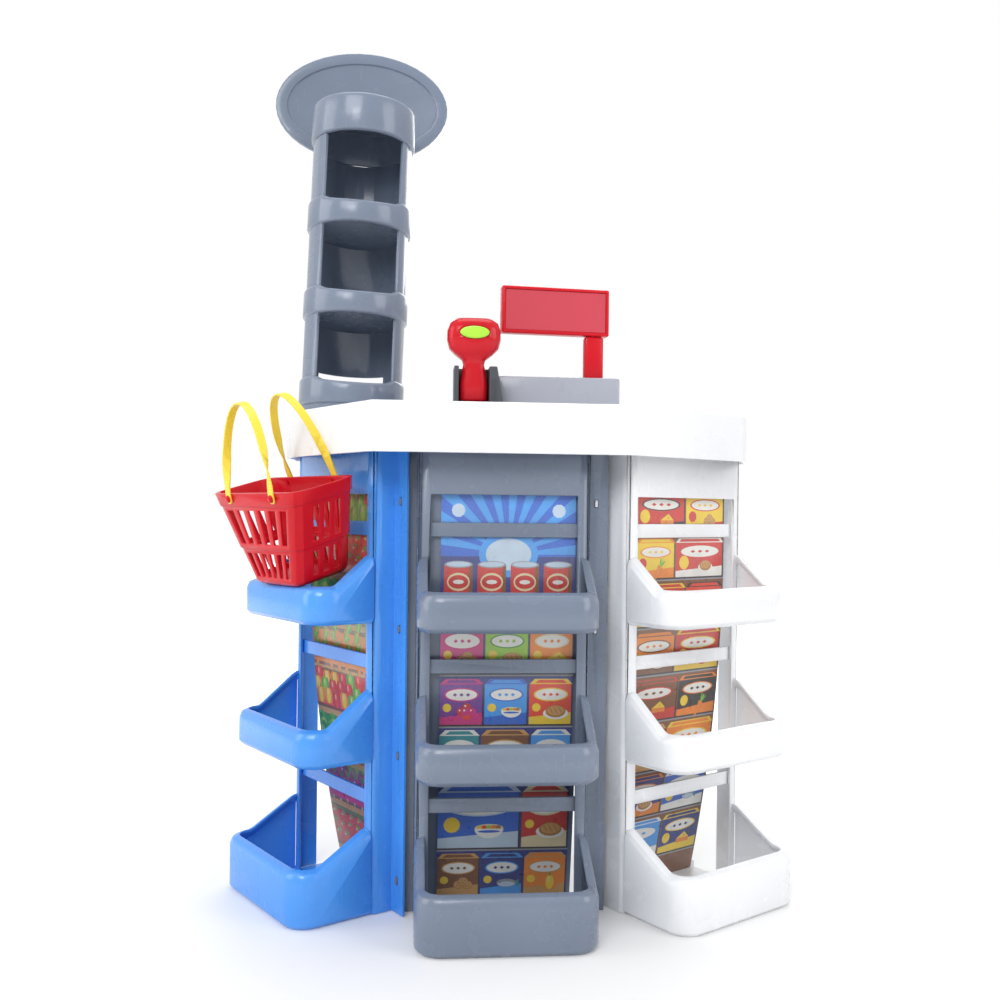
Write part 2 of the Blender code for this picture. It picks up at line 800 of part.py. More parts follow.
def tower_rings(inset):
    """Stacked rings of the tower's wall, from below the deck to the cap, in the tower's frame."""
    angles = tower_angles()
    rings = []
    for height, is_lip in tower_rows():
        ring = []
        for angle in angles:
            dip = 0.0
            if is_lip and abs(angle) < WINDOW_HALF:
                dip = LIP_DIP * math.cos(angle / WINDOW_HALF * math.pi / 2) ** 0.5
            radius = TOWER_RADIUS - inset
            ring.append((radius * math.sin(angle), -radius * math.cos(angle), height - dip))
        rings.append(ring)
    return rings


def tower_angles():
    """Angles round the tower from its front, anticlockwise, with the window's and the back's edges."""
    edges = (-WINDOW_HALF, WINDOW_HALF, math.pi - BACK_HALF, math.pi + BACK_HALF, 2 * math.pi - WINDOW_HALF)
    counts = (9, 7, 7, 7)
    angles = []
    for low, high, count in zip(edges, edges[1:], counts):
        angles += [low + (high - low) * i / count for i in range(count)]
    return angles


def tower_rows():
    """Heights of the rows up the tower, each with whether it is a shelf's front lip."""
    rows = [(-TOWER_SINK, False)]
    for level in range(TOWER_LEVELS):
        base = level * TOWER_PITCH
        if level:
            rows.append((base + LIP_BOTTOM, False))
        rows += [(base + BACK_SILL, False), (base + LIP_TOP, True), (base + BACK_HEAD, False)]
    rows.append((TOWER_TOP, False))
    return rows


def tower(frame, upright):
    """The tower: a leaning tube with three shelves, windows in front and low openings behind."""
    angles = tower_angles()
    count = len(angles)
    rows = tower_rows()

    def hole(column, row):
        low = rows[row][0]
        following = angles[column + 1] if column + 1 < count else angles[0] + 2 * math.pi
        middle = (angles[column] + following) / 2
        in_front = middle < WINDOW_HALF
        behind = abs(middle - math.pi) < BACK_HALF
        level = max(0, int((low + ROW_SLACK) // TOWER_PITCH))
        height = low - level * TOWER_PITCH
        if in_front:
            return height > LIP_TOP - ROW_SLACK
        if behind:
            return BACK_SILL - ROW_SLACK < height < BACK_HEAD - ROW_SLACK
        return False

    body = wall_grid("tower_column", tower_rings(0.0), tower_rings(TOWER_WALL), hole, mid_grey())
    middle = TOWER_RADIUS - TOWER_WALL / 2
    for level in range(TOWER_LEVELS):
        base = level * TOWER_PITCH
        low = base + LIP_BOTTOM + SHELF_LIFT if level else SHELF_LIFT - TOWER_SINK
        join(body, turned("shelf", [(middle, low), (middle, base + FLOOR_TOP)], mid_grey(), steps=30))
    reach = 2 * TOWER_RADIUS
    deep = -3 * TOWER_SINK
    foot = boxes("foot", [((-reach, -reach, deep), (reach, reach, GAP))], mid_grey())
    recess_radius = LOCATING_RADIUS + 2 * GAP
    recess = turned("recess", [(recess_radius, deep), (recess_radius, LOCATING_HEIGHT + GAP)], mid_grey())
    for tool in (foot, recess):
        tool.matrix_world = frame.matrix_world.inverted() @ upright.matrix_world
        bpy.context.view_layer.update()
        cut(body, tool)
    return place(body, frame)


def cap_outline(inset):
    """The cap's plan: the tower's round with its back cut flat for the sign."""
    radius = TOWER_RADIUS - inset
    flat = CAP_FLAT - inset
    start = math.asin(flat / radius)
    sweep = math.pi + 2 * start
    steps = 30
    points = []
    for i in range(steps + 1):
        angle = math.pi - start + sweep * i / steps
        points.append((radius * math.cos(angle), radius * math.sin(angle)))
    return points


def cap(frame):
    """The cap: an inverted cup on the tower's posts."""
    low = TOWER_TOP + GAP
    top = low + CAP_HEIGHT
    rows = (
        (TOWER_WALL, top - TOWER_WALL),
        (TOWER_WALL, low),
        (0.0, low),
        (0.0, top - TOWER_WALL),
        (TOWER_WALL * 0.3, top - TOWER_WALL * 0.3),
        (TOWER_WALL, top),
    )
    rings = [[(x, y, z) for x, y in cap_outline(inset)] for inset, z in rows]
    return place(rings_to_solid("tower_cap", rings, mid_grey()), frame)


def sign(frame):
    """The oval sign: a plate with a raised rim, and a pad behind the cap."""
    half_width = SIGN_WIDTH / 2
    half_height = SIGN_HEIGHT / 2
    front = CAP_FLAT + GAP
    back = front + SIGN_THICK
    edge = SIGN_RECESS / 2
    rows = (
        (edge, back),
        (0.0, back - edge),
        (0.0, front + edge),
        (edge, front),
        (SIGN_RIM - edge, front),
        (SIGN_RIM, front + SIGN_RECESS),
    )
    steps = 44
    rings = []
    for inset, y in rows:
        angles = [2 * math.pi * i / steps for i in range(steps)]
        rings.append([((half_width - inset) * math.cos(a), y, (half_height - inset) * math.sin(a))
                      for a in angles])
    plate = rings_to_solid("tower_sign", rings, mid_grey())
    plate.rotation_euler = (0, -SIGN_TURN, 0)
    plate.location = (0, 0, SIGN_CENTRE)
    bpy.context.view_layer.update()
    plate.data.transform(plate.matrix_world)
    plate.matrix_world.identity()
    pad_low = TOWER_TOP + CAP_HEIGHT - TOWER_WALL - PAD_HEIGHT
    pad_span = ((-PAD_HALF, front, pad_low), (PAD_HALF, front + SIGN_THICK / 2, pad_low + PAD_HEIGHT))
    pad = boxes("pad", [pad_span], mid_grey())
    join(plate, pad)
    return place(plate, frame)


# Register

def slope_angle():
    """How far the key face falls towards the clerk."""
    return math.atan2(REGISTER_HEIGHT - REGISTER_LOW, REGISTER_DEPTH - REGISTER_FLAT)


def register_profile(inset):
    """The cover's profile from the side, anticlockwise, with the inset on its walls and top."""
    fall = math.tan(slope_angle())
    low = -0.001 if inset else 0.0
    back = REGISTER_DEPTH - inset
    top = REGISTER_HEIGHT - inset
    return [(inset, low), (back, low), (back, top - fall * (back - REGISTER_FLAT)),
            (REGISTER_FLAT, top), (inset, top)]


def side_prism(name, profile, low, high, surface):
    """A body along X on a profile seen from the side."""
    rings = [[(x, y, z) for y, z in profile] for x in (low, high)]
    return rings_to_solid(name, rings, surface, smooth=0)


def register_cover(frame, keypad):
    """The cover: a hollow shell, open below, with key holes and a slot for the drawer."""
    body = side_prism("register_cover", register_profile(0.0), 0.0, REGISTER_WIDTH, light_grey())
    edge = body.modifiers.new("edge", "BEVEL")
    edge.width = REGISTER_BEVEL
    edge.segments = 2
    edge.limit_method = "ANGLE"
    edge.angle_limit = math.radians(50)
    hollow = side_prism("hollow", register_profile(REGISTER_WALL), REGISTER_WALL,
                        REGISTER_WIDTH - REGISTER_WALL, light_grey())
    cut(body, hollow)
    left, right = drawer_sides()
    clear = 2 * GAP
    drawer_top = BASE_THICK + GAP + DRAWER_HEIGHT
    mouth = ((left - clear, REGISTER_DEPTH - 2 * REGISTER_WALL, BASE_THICK),
             (right + clear, REGISTER_DEPTH + REGISTER_WALL, drawer_top + clear))
    cut(body, boxes("mouth", [mouth], light_grey()))
    holes = []
    for x, y in key_places():
        half_x = KEY_WIDTH / 2 + GAP
        half_y = KEY_DEPTH / 2 + GAP
        holes.append(((x - half_x, y - half_y, -2 * REGISTER_WALL), (x + half_x, y + half_y, REGISTER_WALL)))
    key_holes = boxes("key_holes", holes, light_grey())
    key_holes.matrix_world = frame.matrix_world.inverted() @ keypad.matrix_world
    bpy.context.view_layer.update()
    cut(body, key_holes)
    return place(body, frame)


def drawer_sides():
    left = (REGISTER_WIDTH - DRAWER_WIDTH) / 2
    return left, left + DRAWER_WIDTH


def key_places():
    """Where the keys stand on the key face: across, and down from its top edge."""
    places = []
    for row in range(KEY_ROWS):
        for column in range(KEY_COLUMNS):
            x = REGISTER_WIDTH / 2 + (column - (KEY_COLUMNS - 1) / 2) * KEY_PITCH_X
            places.append((x, KEY_FIRST_ROW + row * KEY_PITCH_Y))
    return places


def keys(keypad):
    """Springed keys, each with a cap through the cover and a flange behind it."""
    flange_top = -REGISTER_WALL - GAP
    flange_low = flange_top - KEY_FLANGE
    half_x = KEY_WIDTH / 2
    half_y = KEY_DEPTH / 2
    edge = KEY_FLANGE
    rows = (
        (edge, flange_low),
        (edge, flange_top),
        (0.0, flange_top),
        (0.0, KEY_RISE - edge),
        (-edge, KEY_RISE),
    )
    for name, (x, y) in zip(KEY_NAMES, key_places()):
        rings = []
        for grow, z in rows:
            wide = half_x + grow
            deep = half_y + grow
            rings.append([(-wide, -deep, z), (wide, -deep, z), (wide, deep, z), (-wide, deep, z)])
        surface = yellow() if name in ("key_scan", "key_open") else white()
        place(rings_to_solid(name, rings, surface, smooth=0), keypad, (x, y, 0))


def register_board(frame, keypad):
    """The circuit board under the keys."""
    key_foot = -REGISTER_WALL - GAP - KEY_FLANGE
    top = key_foot - KEY_TRAVEL - GAP
    low = (BOARD_MARGIN, 0.002, top - BOARD_THICK)
    high = (REGISTER_WIDTH - BOARD_MARGIN, REGISTER_DEPTH - REGISTER_FLAT - REGISTER_WALL - BOARD_EDGE, top)
    return place(boxes("register_board", [(low, high)], material("board_green", (0.02, 0.16, 0.06), 0.4)),
                 keypad)


def board_underside(y):
    """The height of the board's underside above the register's foot."""
    depth = REGISTER_WALL + 2 * GAP + KEY_FLANGE + KEY_TRAVEL + BOARD_THICK
    angle = slope_angle()
    return REGISTER_HEIGHT - (y - REGISTER_FLAT) * math.tan(angle) - depth / math.cos(angle)


def register_base(frame):
    """The base plate, with drawer guides, board posts, battery bay and a hole for its door."""
    margin = REGISTER_WALL + GAP
    plate = ((margin, margin, 0.0), (REGISTER_WIDTH - margin, REGISTER_DEPTH - margin, BASE_THICK))
    body = boxes("register_base", [plate], dark_grey())
    left, right = drawer_sides()
    sink = BASE_THICK / 2
    guide_top = BASE_THICK + GUIDE_HEIGHT
    guide_back = REGISTER_DEPTH - margin - GUIDE_THICK
    clear = GAP + PLAY
    guides = []
    for guide in (left - clear - GUIDE_THICK, right + clear):
        guides.append(((guide, DRAWER_BACK, sink), (guide + GUIDE_THICK, guide_back, guide_top)))
    middle = REGISTER_WIDTH / 2
    guides.append(((middle - STOP_HALF, DRAWER_BACK - clear - GUIDE_THICK, sink),
                   (middle + STOP_HALF, DRAWER_BACK - clear, guide_top)))
    join(body, boxes("guides", guides, dark_grey()))
    posts = []
    inset = BOARD_MARGIN + BOARD_POST_INSET
    for x in (inset, REGISTER_WIDTH - inset - BOARD_POST):
        for y in (REGISTER_FLAT + BOARD_POST_FRONT, REGISTER_DEPTH - BOARD_POST_BACK):
            top = board_underside(y + BOARD_POST) - GAP
            posts.append(((x, y, sink), (x + BOARD_POST, y + BOARD_POST, top)))
    speaker_x, speaker_y = SPEAKER_PLACE
    speaker_low = REGISTER_HEIGHT - REGISTER_WALL - 2 * GAP - SPEAKER_DEPTH
    posts.append(((speaker_x - SPEAKER_FOOT_FAR, speaker_y - SPEAKER_FOOT_HALF, sink),
                  (speaker_x - SPEAKER_FOOT_NEAR, speaker_y + SPEAKER_FOOT_HALF, speaker_low)))
    join(body, boxes("posts", posts, dark_grey()))
    low, high = door_span()
    grow = Vector((GAP, GAP, 0))
    cut(body, boxes("door_hole", [(Vector(low) - grow - Vector((0, 0, BASE_THICK)),
                                   Vector(high) + grow + Vector((0, 0, BASE_THICK)))], dark_grey()))
    return place(body, frame)


def door_span():
    """The battery door in the base plate, just larger than the cells."""
    side = CELL_RADIUS + DOOR_MARGIN
    low = (CELL_LEFT - DOOR_MARGIN, CELL_ROWS[0] - side, 0.0)
    high = (CELL_LEFT + CELL_LENGTH + DOOR_MARGIN, CELL_ROWS[1] + side, BASE_THICK)
    return low, high


def battery(frame):
    """Two cells on their door."""
    place(boxes("battery_door", [door_span()], dark_grey()), frame)
    tip = CELL_RADIUS * 0.35
    profile = [
        (CELL_RADIUS, 0.0),
        (CELL_RADIUS, CELL_LENGTH - 0.0015),
        (tip, CELL_LENGTH - 0.0015),
        (tip, CELL_LENGTH),
    ]
    for i, y in enumerate(CELL_ROWS):
        cell = turned("battery_cell_%d" % (i + 1), profile, steel(), steps=16)
        place(cell, frame, (CELL_LEFT, y, BASE_THICK + GAP + CELL_RADIUS), (0, math.pi / 2, 0))


def speaker(frame):
    """The speaker under the cover's flat part."""
    low = REGISTER_HEIGHT - REGISTER_WALL - GAP - SPEAKER_DEPTH
    profile = [
        (SPEAKER_RADIUS * 0.6, low),
        (SPEAKER_RADIUS, low + SPEAKER_DEPTH * 0.6),
        (SPEAKER_RADIUS, low + SPEAKER_DEPTH),
    ]
    place(turned("register_speaker", profile, steel(), steps=20), frame, (*SPEAKER_PLACE, 0))


def cash_drawer(frame):
    """The drawer: a tray with a pull, which slides out towards the clerk."""
    left, right = drawer_sides()
    low = BASE_THICK + GAP
    high = low + DRAWER_HEIGHT
    tray = boxes("cash_drawer", [((0, 0, 0), (right - left, DRAWER_DEPTH, high - low))], light_grey())
    middle = (right - left) / 2
    pull = ((middle - PULL_WIDTH / 2, DRAWER_DEPTH - DRAWER_WALL / 2, (high - low) / 2),
            (middle + PULL_WIDTH / 2, DRAWER_DEPTH + PULL_REACH, (high - low) / 2 + PULL_THICK))
    join(tray, boxes("pull", [pull], light_grey()))
    pocket = ((DRAWER_WALL, DRAWER_WALL, DRAWER_WALL),
              (right - left - DRAWER_WALL, DRAWER_DEPTH - DRAWER_WALL, DRAWER_HEIGHT * 2))
    cut(tray, boxes("pocket", [pocket], light_grey()))
    return place(tray, frame, (left, DRAWER_BACK, low))


def display(frame):
    """The customer display: a frame with a recessed face, on a post that stands on the cover."""
    turn = empty("display_frame_place", frame, (*DISPLAY_PLACE, 0), (0, 0, DISPLAY_TURN))
    half = DISPLAY_WIDTH / 2
    low = DISPLAY_BASE
    high = DISPLAY_BASE + DISPLAY_HEIGHT
    housing = boxes("display_frame", [((-half, 0, low), (half, DISPLAY_DEPTH, high))], strong_red())
    edge = housing.modifiers.new("edge", "BEVEL")
    edge.width = DISPLAY_RIM / 2
    edge.segments = 2
    opening = ((-half + DISPLAY_RIM, -0.01, low + DISPLAY_RIM), (half - DISPLAY_RIM, PANEL_RECESS + GAP,
                                                                high - DISPLAY_RIM))
    cut(housing, boxes("opening", [opening], strong_red()))
    place(housing, turn)
    inner = half - DISPLAY_RIM - GAP
    face = ((-inner, PANEL_RECESS - PANEL_THICK, low + DISPLAY_RIM + GAP),
            (inner, PANEL_RECESS, high - DISPLAY_RIM - GAP))
    place(boxes("display_panel", [face], pale_red()), turn)
    back = DISPLAY_DEPTH - 0.001
    post = ((DISPLAY_POST_PLACE - DISPLAY_POST_WIDTH / 2, back - DISPLAY_POST_DEPTH, REGISTER_HEIGHT + GAP),
            (DISPLAY_POST_PLACE + DISPLAY_POST_WIDTH / 2, back, low - GAP))
    column = boxes("display_post", [post], strong_red())
    round_edge = column.modifiers.new("edge", "BEVEL")
    round_edge.width = 0.002
    round_edge.segments = 2
    place(column, turn)


# Scanner

def superellipse(width, depth, angle, power=SCANNER_SQUARE):
    """A point on a rounded rectangle at an angle."""
    c = math.cos(angle)
    s = math.sin(angle)
    x = math.copysign(abs(c) ** (2 / power), c) * width / 2
    y = math.copysign(abs(s) ** (2 / power), s) * depth / 2
    return x, y


def scanner_half(name, hand, surface):
    """One half of the scanner's body: hand is -1 in front and 1 behind."""
    rings = []
    steps = 12
    for height, width, depth in SCANNER_SECTIONS:
        ring = []
        for i in range(steps + 1):
            x, y = superellipse(width, depth - GAP, hand * math.pi * i / steps)
            ring.append((x, y + hand * GAP / 2, height))
        rings.append(ring)
    return rings_to_solid(name, rings, surface)


def oval_disc(name, width, height, rows, surface, steps=20):
    """An oval body along -Y from (inset, y) rows."""
    rings = []
    for inset, y in rows:
        angles = [2 * math.pi * i / steps for i in range(steps)]
        rings.append([((width / 2 - inset) * math.cos(a), y, (height / 2 - inset) * math.sin(a))
                      for a in angles])
    return rings_to_solid(name, rings, surface)


def scanner(frame):
    """The hand scanner, standing in its holder."""
    body = empty("scanner_body", frame, (0, 0, SCANNER_FOOT))
    front = scanner_half("scanner_front_shell", -1, strong_red())
    seat = oval_disc("seat", BUTTON_WIDTH + 3 * GAP, BUTTON_HEIGHT + 3 * GAP,
                     ((0, -BUTTON_FLOOR), (0, -0.03)), strong_red())
    seat.location = (0, 0, BUTTON_CENTRE)
    bpy.context.view_layer.update()
    cut(front, seat)
    place(front, body)
    inner = -BUTTON_FLOOR - GAP - BUTTON_TRAVEL
    rows = ((0, inner), (0, -BUTTON_FACE + 0.001), (0.0012, -BUTTON_FACE))
    button = oval_disc("scanner_button", BUTTON_WIDTH, BUTTON_HEIGHT, rows, lime())
    place(button, body, (0, 0, BUTTON_CENTRE))
    back = scanner_half("scanner_back_shell", 1, strong_red())
    side = TRIGGER_WIDTH / 2
    slot = ((-side - GAP, TRIGGER_FLOOR, TRIGGER_LOW - GAP), (side + GAP, 0.03, TRIGGER_HIGH + GAP))
    window = ((-LENS_WIDTH / 2 - GAP, LENS_FLOOR, LENS_CENTRE - LENS_HEIGHT / 2 - GAP),
              (LENS_WIDTH / 2 + GAP, 0.03, LENS_CENTRE + LENS_HEIGHT / 2 + GAP))
    cut(back, boxes("slot", [slot, window], strong_red()))
    place(back, body)
    lens = ((-LENS_WIDTH / 2, LENS_FLOOR + GAP, LENS_CENTRE - LENS_HEIGHT / 2),
            (LENS_WIDTH / 2, LENS_FLOOR + GAP + LENS_THICK, LENS_CENTRE + LENS_HEIGHT / 2))
    place(boxes("scanner_window", [lens], clear_smoke()), body)
    root = TRIGGER_FLOOR + GAP + TRIGGER_TRAVEL
    trigger = ((-side, root, TRIGGER_LOW), (side, TRIGGER_FACE, TRIGGER_HIGH))
    place(boxes("scanner_trigger", [trigger], dark_grey()), body)


def scanner_cradle(frame):
    """The holder: a block with a socket for the scanner's grip."""
    block = ((CRADLE_LEFT, -CRADLE_HALF_DEPTH, 0.0), (CRADLE_RIGHT, CRADLE_HALF_DEPTH, CRADLE_HEIGHT))
    body = boxes("scanner_cradle", [block], dark_grey())
    edge = body.modifiers.new("edge", "BEVEL")
    edge.width = 0.002
    edge.segments = 2
    widest = max(width for height, width, depth in SCANNER_SECTIONS if height < CRADLE_HEIGHT - SCANNER_FOOT)
    deepest = max(depth for height, width, depth in SCANNER_SECTIONS if height < CRADLE_HEIGHT - SCANNER_FOOT)
    rings = []
    for z in (SOCKET_FLOOR, CRADLE_HEIGHT + 0.01):
        ring = []
        for i in range(24):
            x, y = superellipse(widest + 2 * SOCKET_CLEAR, deepest + 2 * SOCKET_CLEAR, 2 * math.pi * i / 24)
            ring.append((x, y, z))
        rings.append(ring)
    cut(body, rings_to_solid("socket", rings, dark_grey()))
    return place(body, frame)


# Basket

def tub_ring(drop, outset):
    """One ring round the basket at a drop below its rim, moved outwards by the outset."""
    share = drop / BASKET_HEIGHT
    half_x = BASKET_LENGTH / 2 - BASKET_TAPER_LONG * share
    half_y = BASKET_WIDTH / 2 - BASKET_TAPER_SHORT * share
    corners = [(-half_x, -half_y), (half_x, -half_y), (half_x, half_y), (-half_x, half_y)]
    steps = TUB_CORNER_STEPS
    arcs = rounded(corners, [BASKET_CORNER] * 4, -outset, steps)
    ring = []
    for side, slots in enumerate((LONG_SLOTS, SHORT_SLOTS, LONG_SLOTS, SHORT_SLOTS)):
        arc = arcs[side * (steps + 1):(side + 1) * (steps + 1)]
        following = arcs[((side + 1) * (steps + 1)) % len(arcs)]
        ring += arc
        start = Vector(arc[-1])
        run = Vector(following) - start
        for k in range(slots):
            for edge in (-1, 1):
                ring.append(tuple(start + run * ((k + 0.5 + edge * SLOT_SHARE / 2) / slots)))
    return [(x, y, -drop) for x, y in ring]


def is_slot_column(column):
    """Whether a column of the basket's wall has slots."""
    steps = TUB_CORNER_STEPS
    for slots in (LONG_SLOTS, SHORT_SLOTS, LONG_SLOTS, SHORT_SLOTS):
        width = steps + 2 * slots + 1
        if column < width:
            return column > steps and (column - steps) % 2 == 1
        column -= width
    return False


def basket_tub(frame):
    """The tub: a tapered wall in two steps with a band round its rim and two rows of slots."""
    rows = (
        (BASKET_HEIGHT, -BASKET_STEP - BASKET_FLOOR),
        (BASKET_HEIGHT - BASKET_FLOOR, -BASKET_STEP),
        (LOWER_SLOTS[0], -BASKET_STEP),
        (LOWER_SLOTS[1], -BASKET_STEP),
        (LEDGE_DROP + STEP_FALL, -BASKET_STEP),
        (LEDGE_DROP, 0.0),
        (UPPER_SLOTS[0], 0.0),
        (UPPER_SLOTS[1], 0.0),
        (BAND_HEIGHT + STEP_FALL, 0.0),
        (BAND_HEIGHT, BASKET_STEP),
        (0.0, BASKET_STEP),
    )
    outer = [tub_ring(drop, outset) for drop, outset in rows]
    inner = [tub_ring(drop, min(outset, 0.0) - BASKET_WALL) for drop, outset in rows]
    slot_rows = (2, 6)

    def hole(column, row):
        return row in slot_rows and is_slot_column(column)

    tub = wall_grid("basket_tub", outer, inner, hole, strong_red(), floor=True)
    for x, y in rivet_places():
        cut(tub, rivet_hole(x, y))
    return place(tub, frame)


def rivet_places():
    """Where the handles are riveted, at the band's outer face."""
    face = BASKET_WIDTH / 2 + BASKET_STEP
    return [(x, side * face) for side in (-1, 1) for x in (-HANDLE_HALF, HANDLE_HALF)]


def rivet_hole(x, y):
    bm = bmesh.new()
    shank_hole(bm, (0, 0), -0.008, 0.008)
    bmesh.ops.rotate(bm, verts=bm.verts, cent=(0, 0, 0), matrix=Euler((math.pi / 2, 0, 0)).to_matrix())
    bmesh.ops.translate(bm, verts=bm.verts, vec=(x, y, -HANDLE_DROP))
    return solid("rivet_hole", bm, strong_red(), smooth=0)


def handle(name, frame, side):
    """A flat strap that leaves the band flat, twists a quarter turn and arches over the basket."""
    face = BASKET_WIDTH / 2 + BASKET_STEP + GAP + HANDLE_THICK / 2
    stations = []
    for tail, width in ((HANDLE_TAIL, 0.45), (HANDLE_TAIL * 0.8, 0.8), (HANDLE_TAIL * 0.45, 1.0), (0.0, 1.0)):
        stations.append((HANDLE_HALF, -HANDLE_DROP - tail, width, 0.0))
    level = math.asin(HANDLE_DROP / HANDLE_RISE)
    rim_station = (HANDLE_HALF * math.cos(level), 0.0, 1.0, 0.0)
    stations.append(rim_station)
    steps = 24
    for i in range(1, steps):
        angle = math.pi * i / steps
        x = HANDLE_HALF * math.cos(angle)
        z = -HANDLE_DROP + HANDLE_RISE * math.sin(angle)
        reach = min(i, steps - i) / steps
        share = min(1.0, max(0.0, (reach - 0.03) / 0.17))
        eased = share * share * (3 - 2 * share)
        stations.append((x, z, 1.0, eased * math.pi / 2 * (1 if i <= steps / 2 else -1)))
    for x, z, width, twist in reversed(stations[:5]):
        stations.append((-x, z, width, -twist))
    rings = []
    for x, z, width, twist in stations:
        lean = max(0.0, z) * math.tan(HANDLE_LEAN)
        y = side * (face - lean)
        angle = math.atan2(max(0.0, z + HANDLE_DROP) / HANDLE_RISE, x / HANDLE_HALF)
        if z <= -HANDLE_DROP:
            across = Vector((1.0, 0.0, 0.0)) if x > 0 else Vector((-1.0, 0.0, 0.0))
        else:
            across = Vector((math.cos(angle) * HANDLE_RISE, 0.0, math.sin(angle) * HANDLE_HALF)).normalized()
        outwards = Vector((0.0, side, 0.0))
        wide = across * math.cos(abs(twist)) + outwards * math.sin(abs(twist))
        thick = outwards * math.cos(abs(twist)) - across * math.sin(abs(twist))
        middle = Vector((x, y, z))
        half_wide = wide * (HANDLE_WIDTH / 2 * width)
        half_thick = thick * (HANDLE_THICK / 2)
        rings.append([middle - half_wide - half_thick, middle + half_wide - half_thick,
                      middle + half_wide + half_thick, middle - half_wide + half_thick])
    strap = rings_to_solid(name, rings, yellow(), smooth=50)
    for x in (-HANDLE_HALF, HANDLE_HALF):
        cut(strap, rivet_hole(x, side * face))
    return place(strap, frame)


def rivets(frame):
    """Rivet pins through the straps and the band, with a head outside and a flare inside."""
    outer = HANDLE_THICK + 2 * GAP
    inner = BASKET_STEP + BASKET_WALL + GAP
    profile = [
        (RIVET_FLARE, -inner - RIVET_FLARE_THICK),
        (RIVET_FLARE, -inner),
        (RIVET_RADIUS, -inner),
        (RIVET_RADIUS, outer),
        (RIVET_HEAD, outer),
        (RIVET_HEAD * 0.85, outer + RIVET_DOME * 0.6),
        (RIVET_HEAD * 0.4, outer + RIVET_DOME),
    ]
    for i, (x, y) in enumerate(rivet_places()):
        pin = turned("basket_rivet_%d" % (i + 1), profile, strong_red(), steps=12)
        lie = math.pi / 2 if y < 0 else -math.pi / 2
        place(pin, frame, (x, y, -HANDLE_DROP), (lie, 0, 0))


def basket_height():
    """The height of the rim's middle when the tipped floor rests on the top bin's lip."""
    store_bin = BINS[-1]
    lip = store_bin["front"] - RIM_RADIUS
    floor_half = BASKET_LENGTH / 2 - BASKET_TAPER_LONG
    floor_middle = BASKET_PLACE[1] - BASKET_HEIGHT * math.sin(BASKET_TIP)
    slope = math.tan(BASKET_TIP)
    along = (lip - floor_middle) * math.cos(BASKET_TURN) * slope
    end = floor_half * math.sin(BASKET_TURN) * slope
    return store_bin["lip"] + GAP + along + end + BASKET_HEIGHT * math.cos(BASKET_TIP)


def centre_on_floor(root):
    """Move the whole model so the middle of its footprint is the origin and it stands on Z 0."""
    bpy.context.view_layer.update()
    points = []
    for piece in bpy.context.scene.objects:
        if piece.type == "MESH":
            points += [piece.matrix_world @ Vector(corner) for corner in piece.bound_box]
    middle_x = (min(p.x for p in points) + max(p.x for p in points)) / 2
    middle_y = (min(p.y for p in points) + max(p.y for p in points)) / 2
    root.location = (-middle_x, -middle_y, -min(p.z for p in points))
    bpy.context.view_layer.update()


def main():
    for piece in list(bpy.data.objects):
        bpy.data.objects.remove(piece)
    root = empty("store")
    left_place = Vector((-JUNCTION, 0)) - across(-LEFT_TURN) * JUNCTION
    right_place = Vector((JUNCTION, 0)) + across(RIGHT_TURN) * JUNCTION
    blue = empty("blue_bay_place", root, (*left_place, 0), (0, 0, -LEFT_TURN))
    grey = empty("grey_bay_place", root)
    pale = empty("white_bay_place", root, (*right_place, 0), (0, 0, RIGHT_TURN))
    deck = empty("deck", root, (0, 0, DECK_TOP))
    upright = empty("tower_foot", deck, (*TOWER_PLACE, 0))
    leaning = empty("tower_place", upright, (0, 0, 0), (-TOWER_LEAN_BACK, TOWER_LEAN_RIGHT, TOWER_TURN))
    register = empty("register_place", deck, (*REGISTER_PLACE, GAP))
    keypad = empty("keypad_place", register, (0, REGISTER_FLAT, REGISTER_HEIGHT), (-slope_angle(), 0, 0))
    gun = empty("scanner_place", deck, (*SCANNER_PLACE, GAP))
    basket = empty("basket_place", blue, (BASKET_PLACE[0], -BASKET_PLACE[1], basket_height()),
                   (BASKET_TIP, 0, BASKET_TURN))
    bpy.context.view_layer.update()

    # The tower stands over the blue bay's left corner, which has no screw
    bays = (("blue", blue, RIGHT_CORNER), ("grey", grey, BOTH_CORNERS), ("white", pale, BOTH_CORNERS))
    bay("blue_bay", blue, sky_blue(), RIGHT_CORNER, slotted=True)
    bay("grey_bay", grey, mid_grey(), BOTH_CORNERS, left_turn=LEFT_TURN, slotted=True)
    bay("white_bay", pale, white(), BOTH_CORNERS, left_turn=RIGHT_TURN)
    printed_sheet("blue_card", blue, 0.0, printed_card("card_greens", (0.30, 0.45, 0.12)))
    printed_sheet("grey_card", grey, GREY_CARD_SHIFT, printed_card("card_blues", (0.12, 0.20, 0.55)))
    printed_sheet("white_card", pale, 0.0, printed_card("card_reds", (0.75, 0.20, 0.08)))

    counter(bays, root)
    for name, frame, screwed in bays:
        for side, hand in screwed:
            x, y = screw_place(hand)
            screw("screw_%s_%s" % (name, side), frame, x, y)

    tower(leaning, upright)
    cap(leaning)
    sign(leaning)

    register_base(register)
    register_cover(register, keypad)
    keys(keypad)
    register_board(register, keypad)
    speaker(register)
    battery(register)
    cash_drawer(register)
    display(register)

    scanner_cradle(gun)
    scanner(gun)

    basket_tub(basket)
    handle("basket_handle_front", basket, -1)
    handle("basket_handle_rear", basket, 1)
    rivets(basket)
    centre_on_floor(root)


main()
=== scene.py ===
"""Looks of the toy grocery store: moulded finishes, softened edges, printed cards and a plain studio."""
import json
import math
import random

import bmesh
import bpy
from bpy.props import FloatProperty, FloatVectorProperty, PointerProperty
from mathutils import Euler, Matrix, Vector
from mathutils.geometry import delaunay_2d_cdt


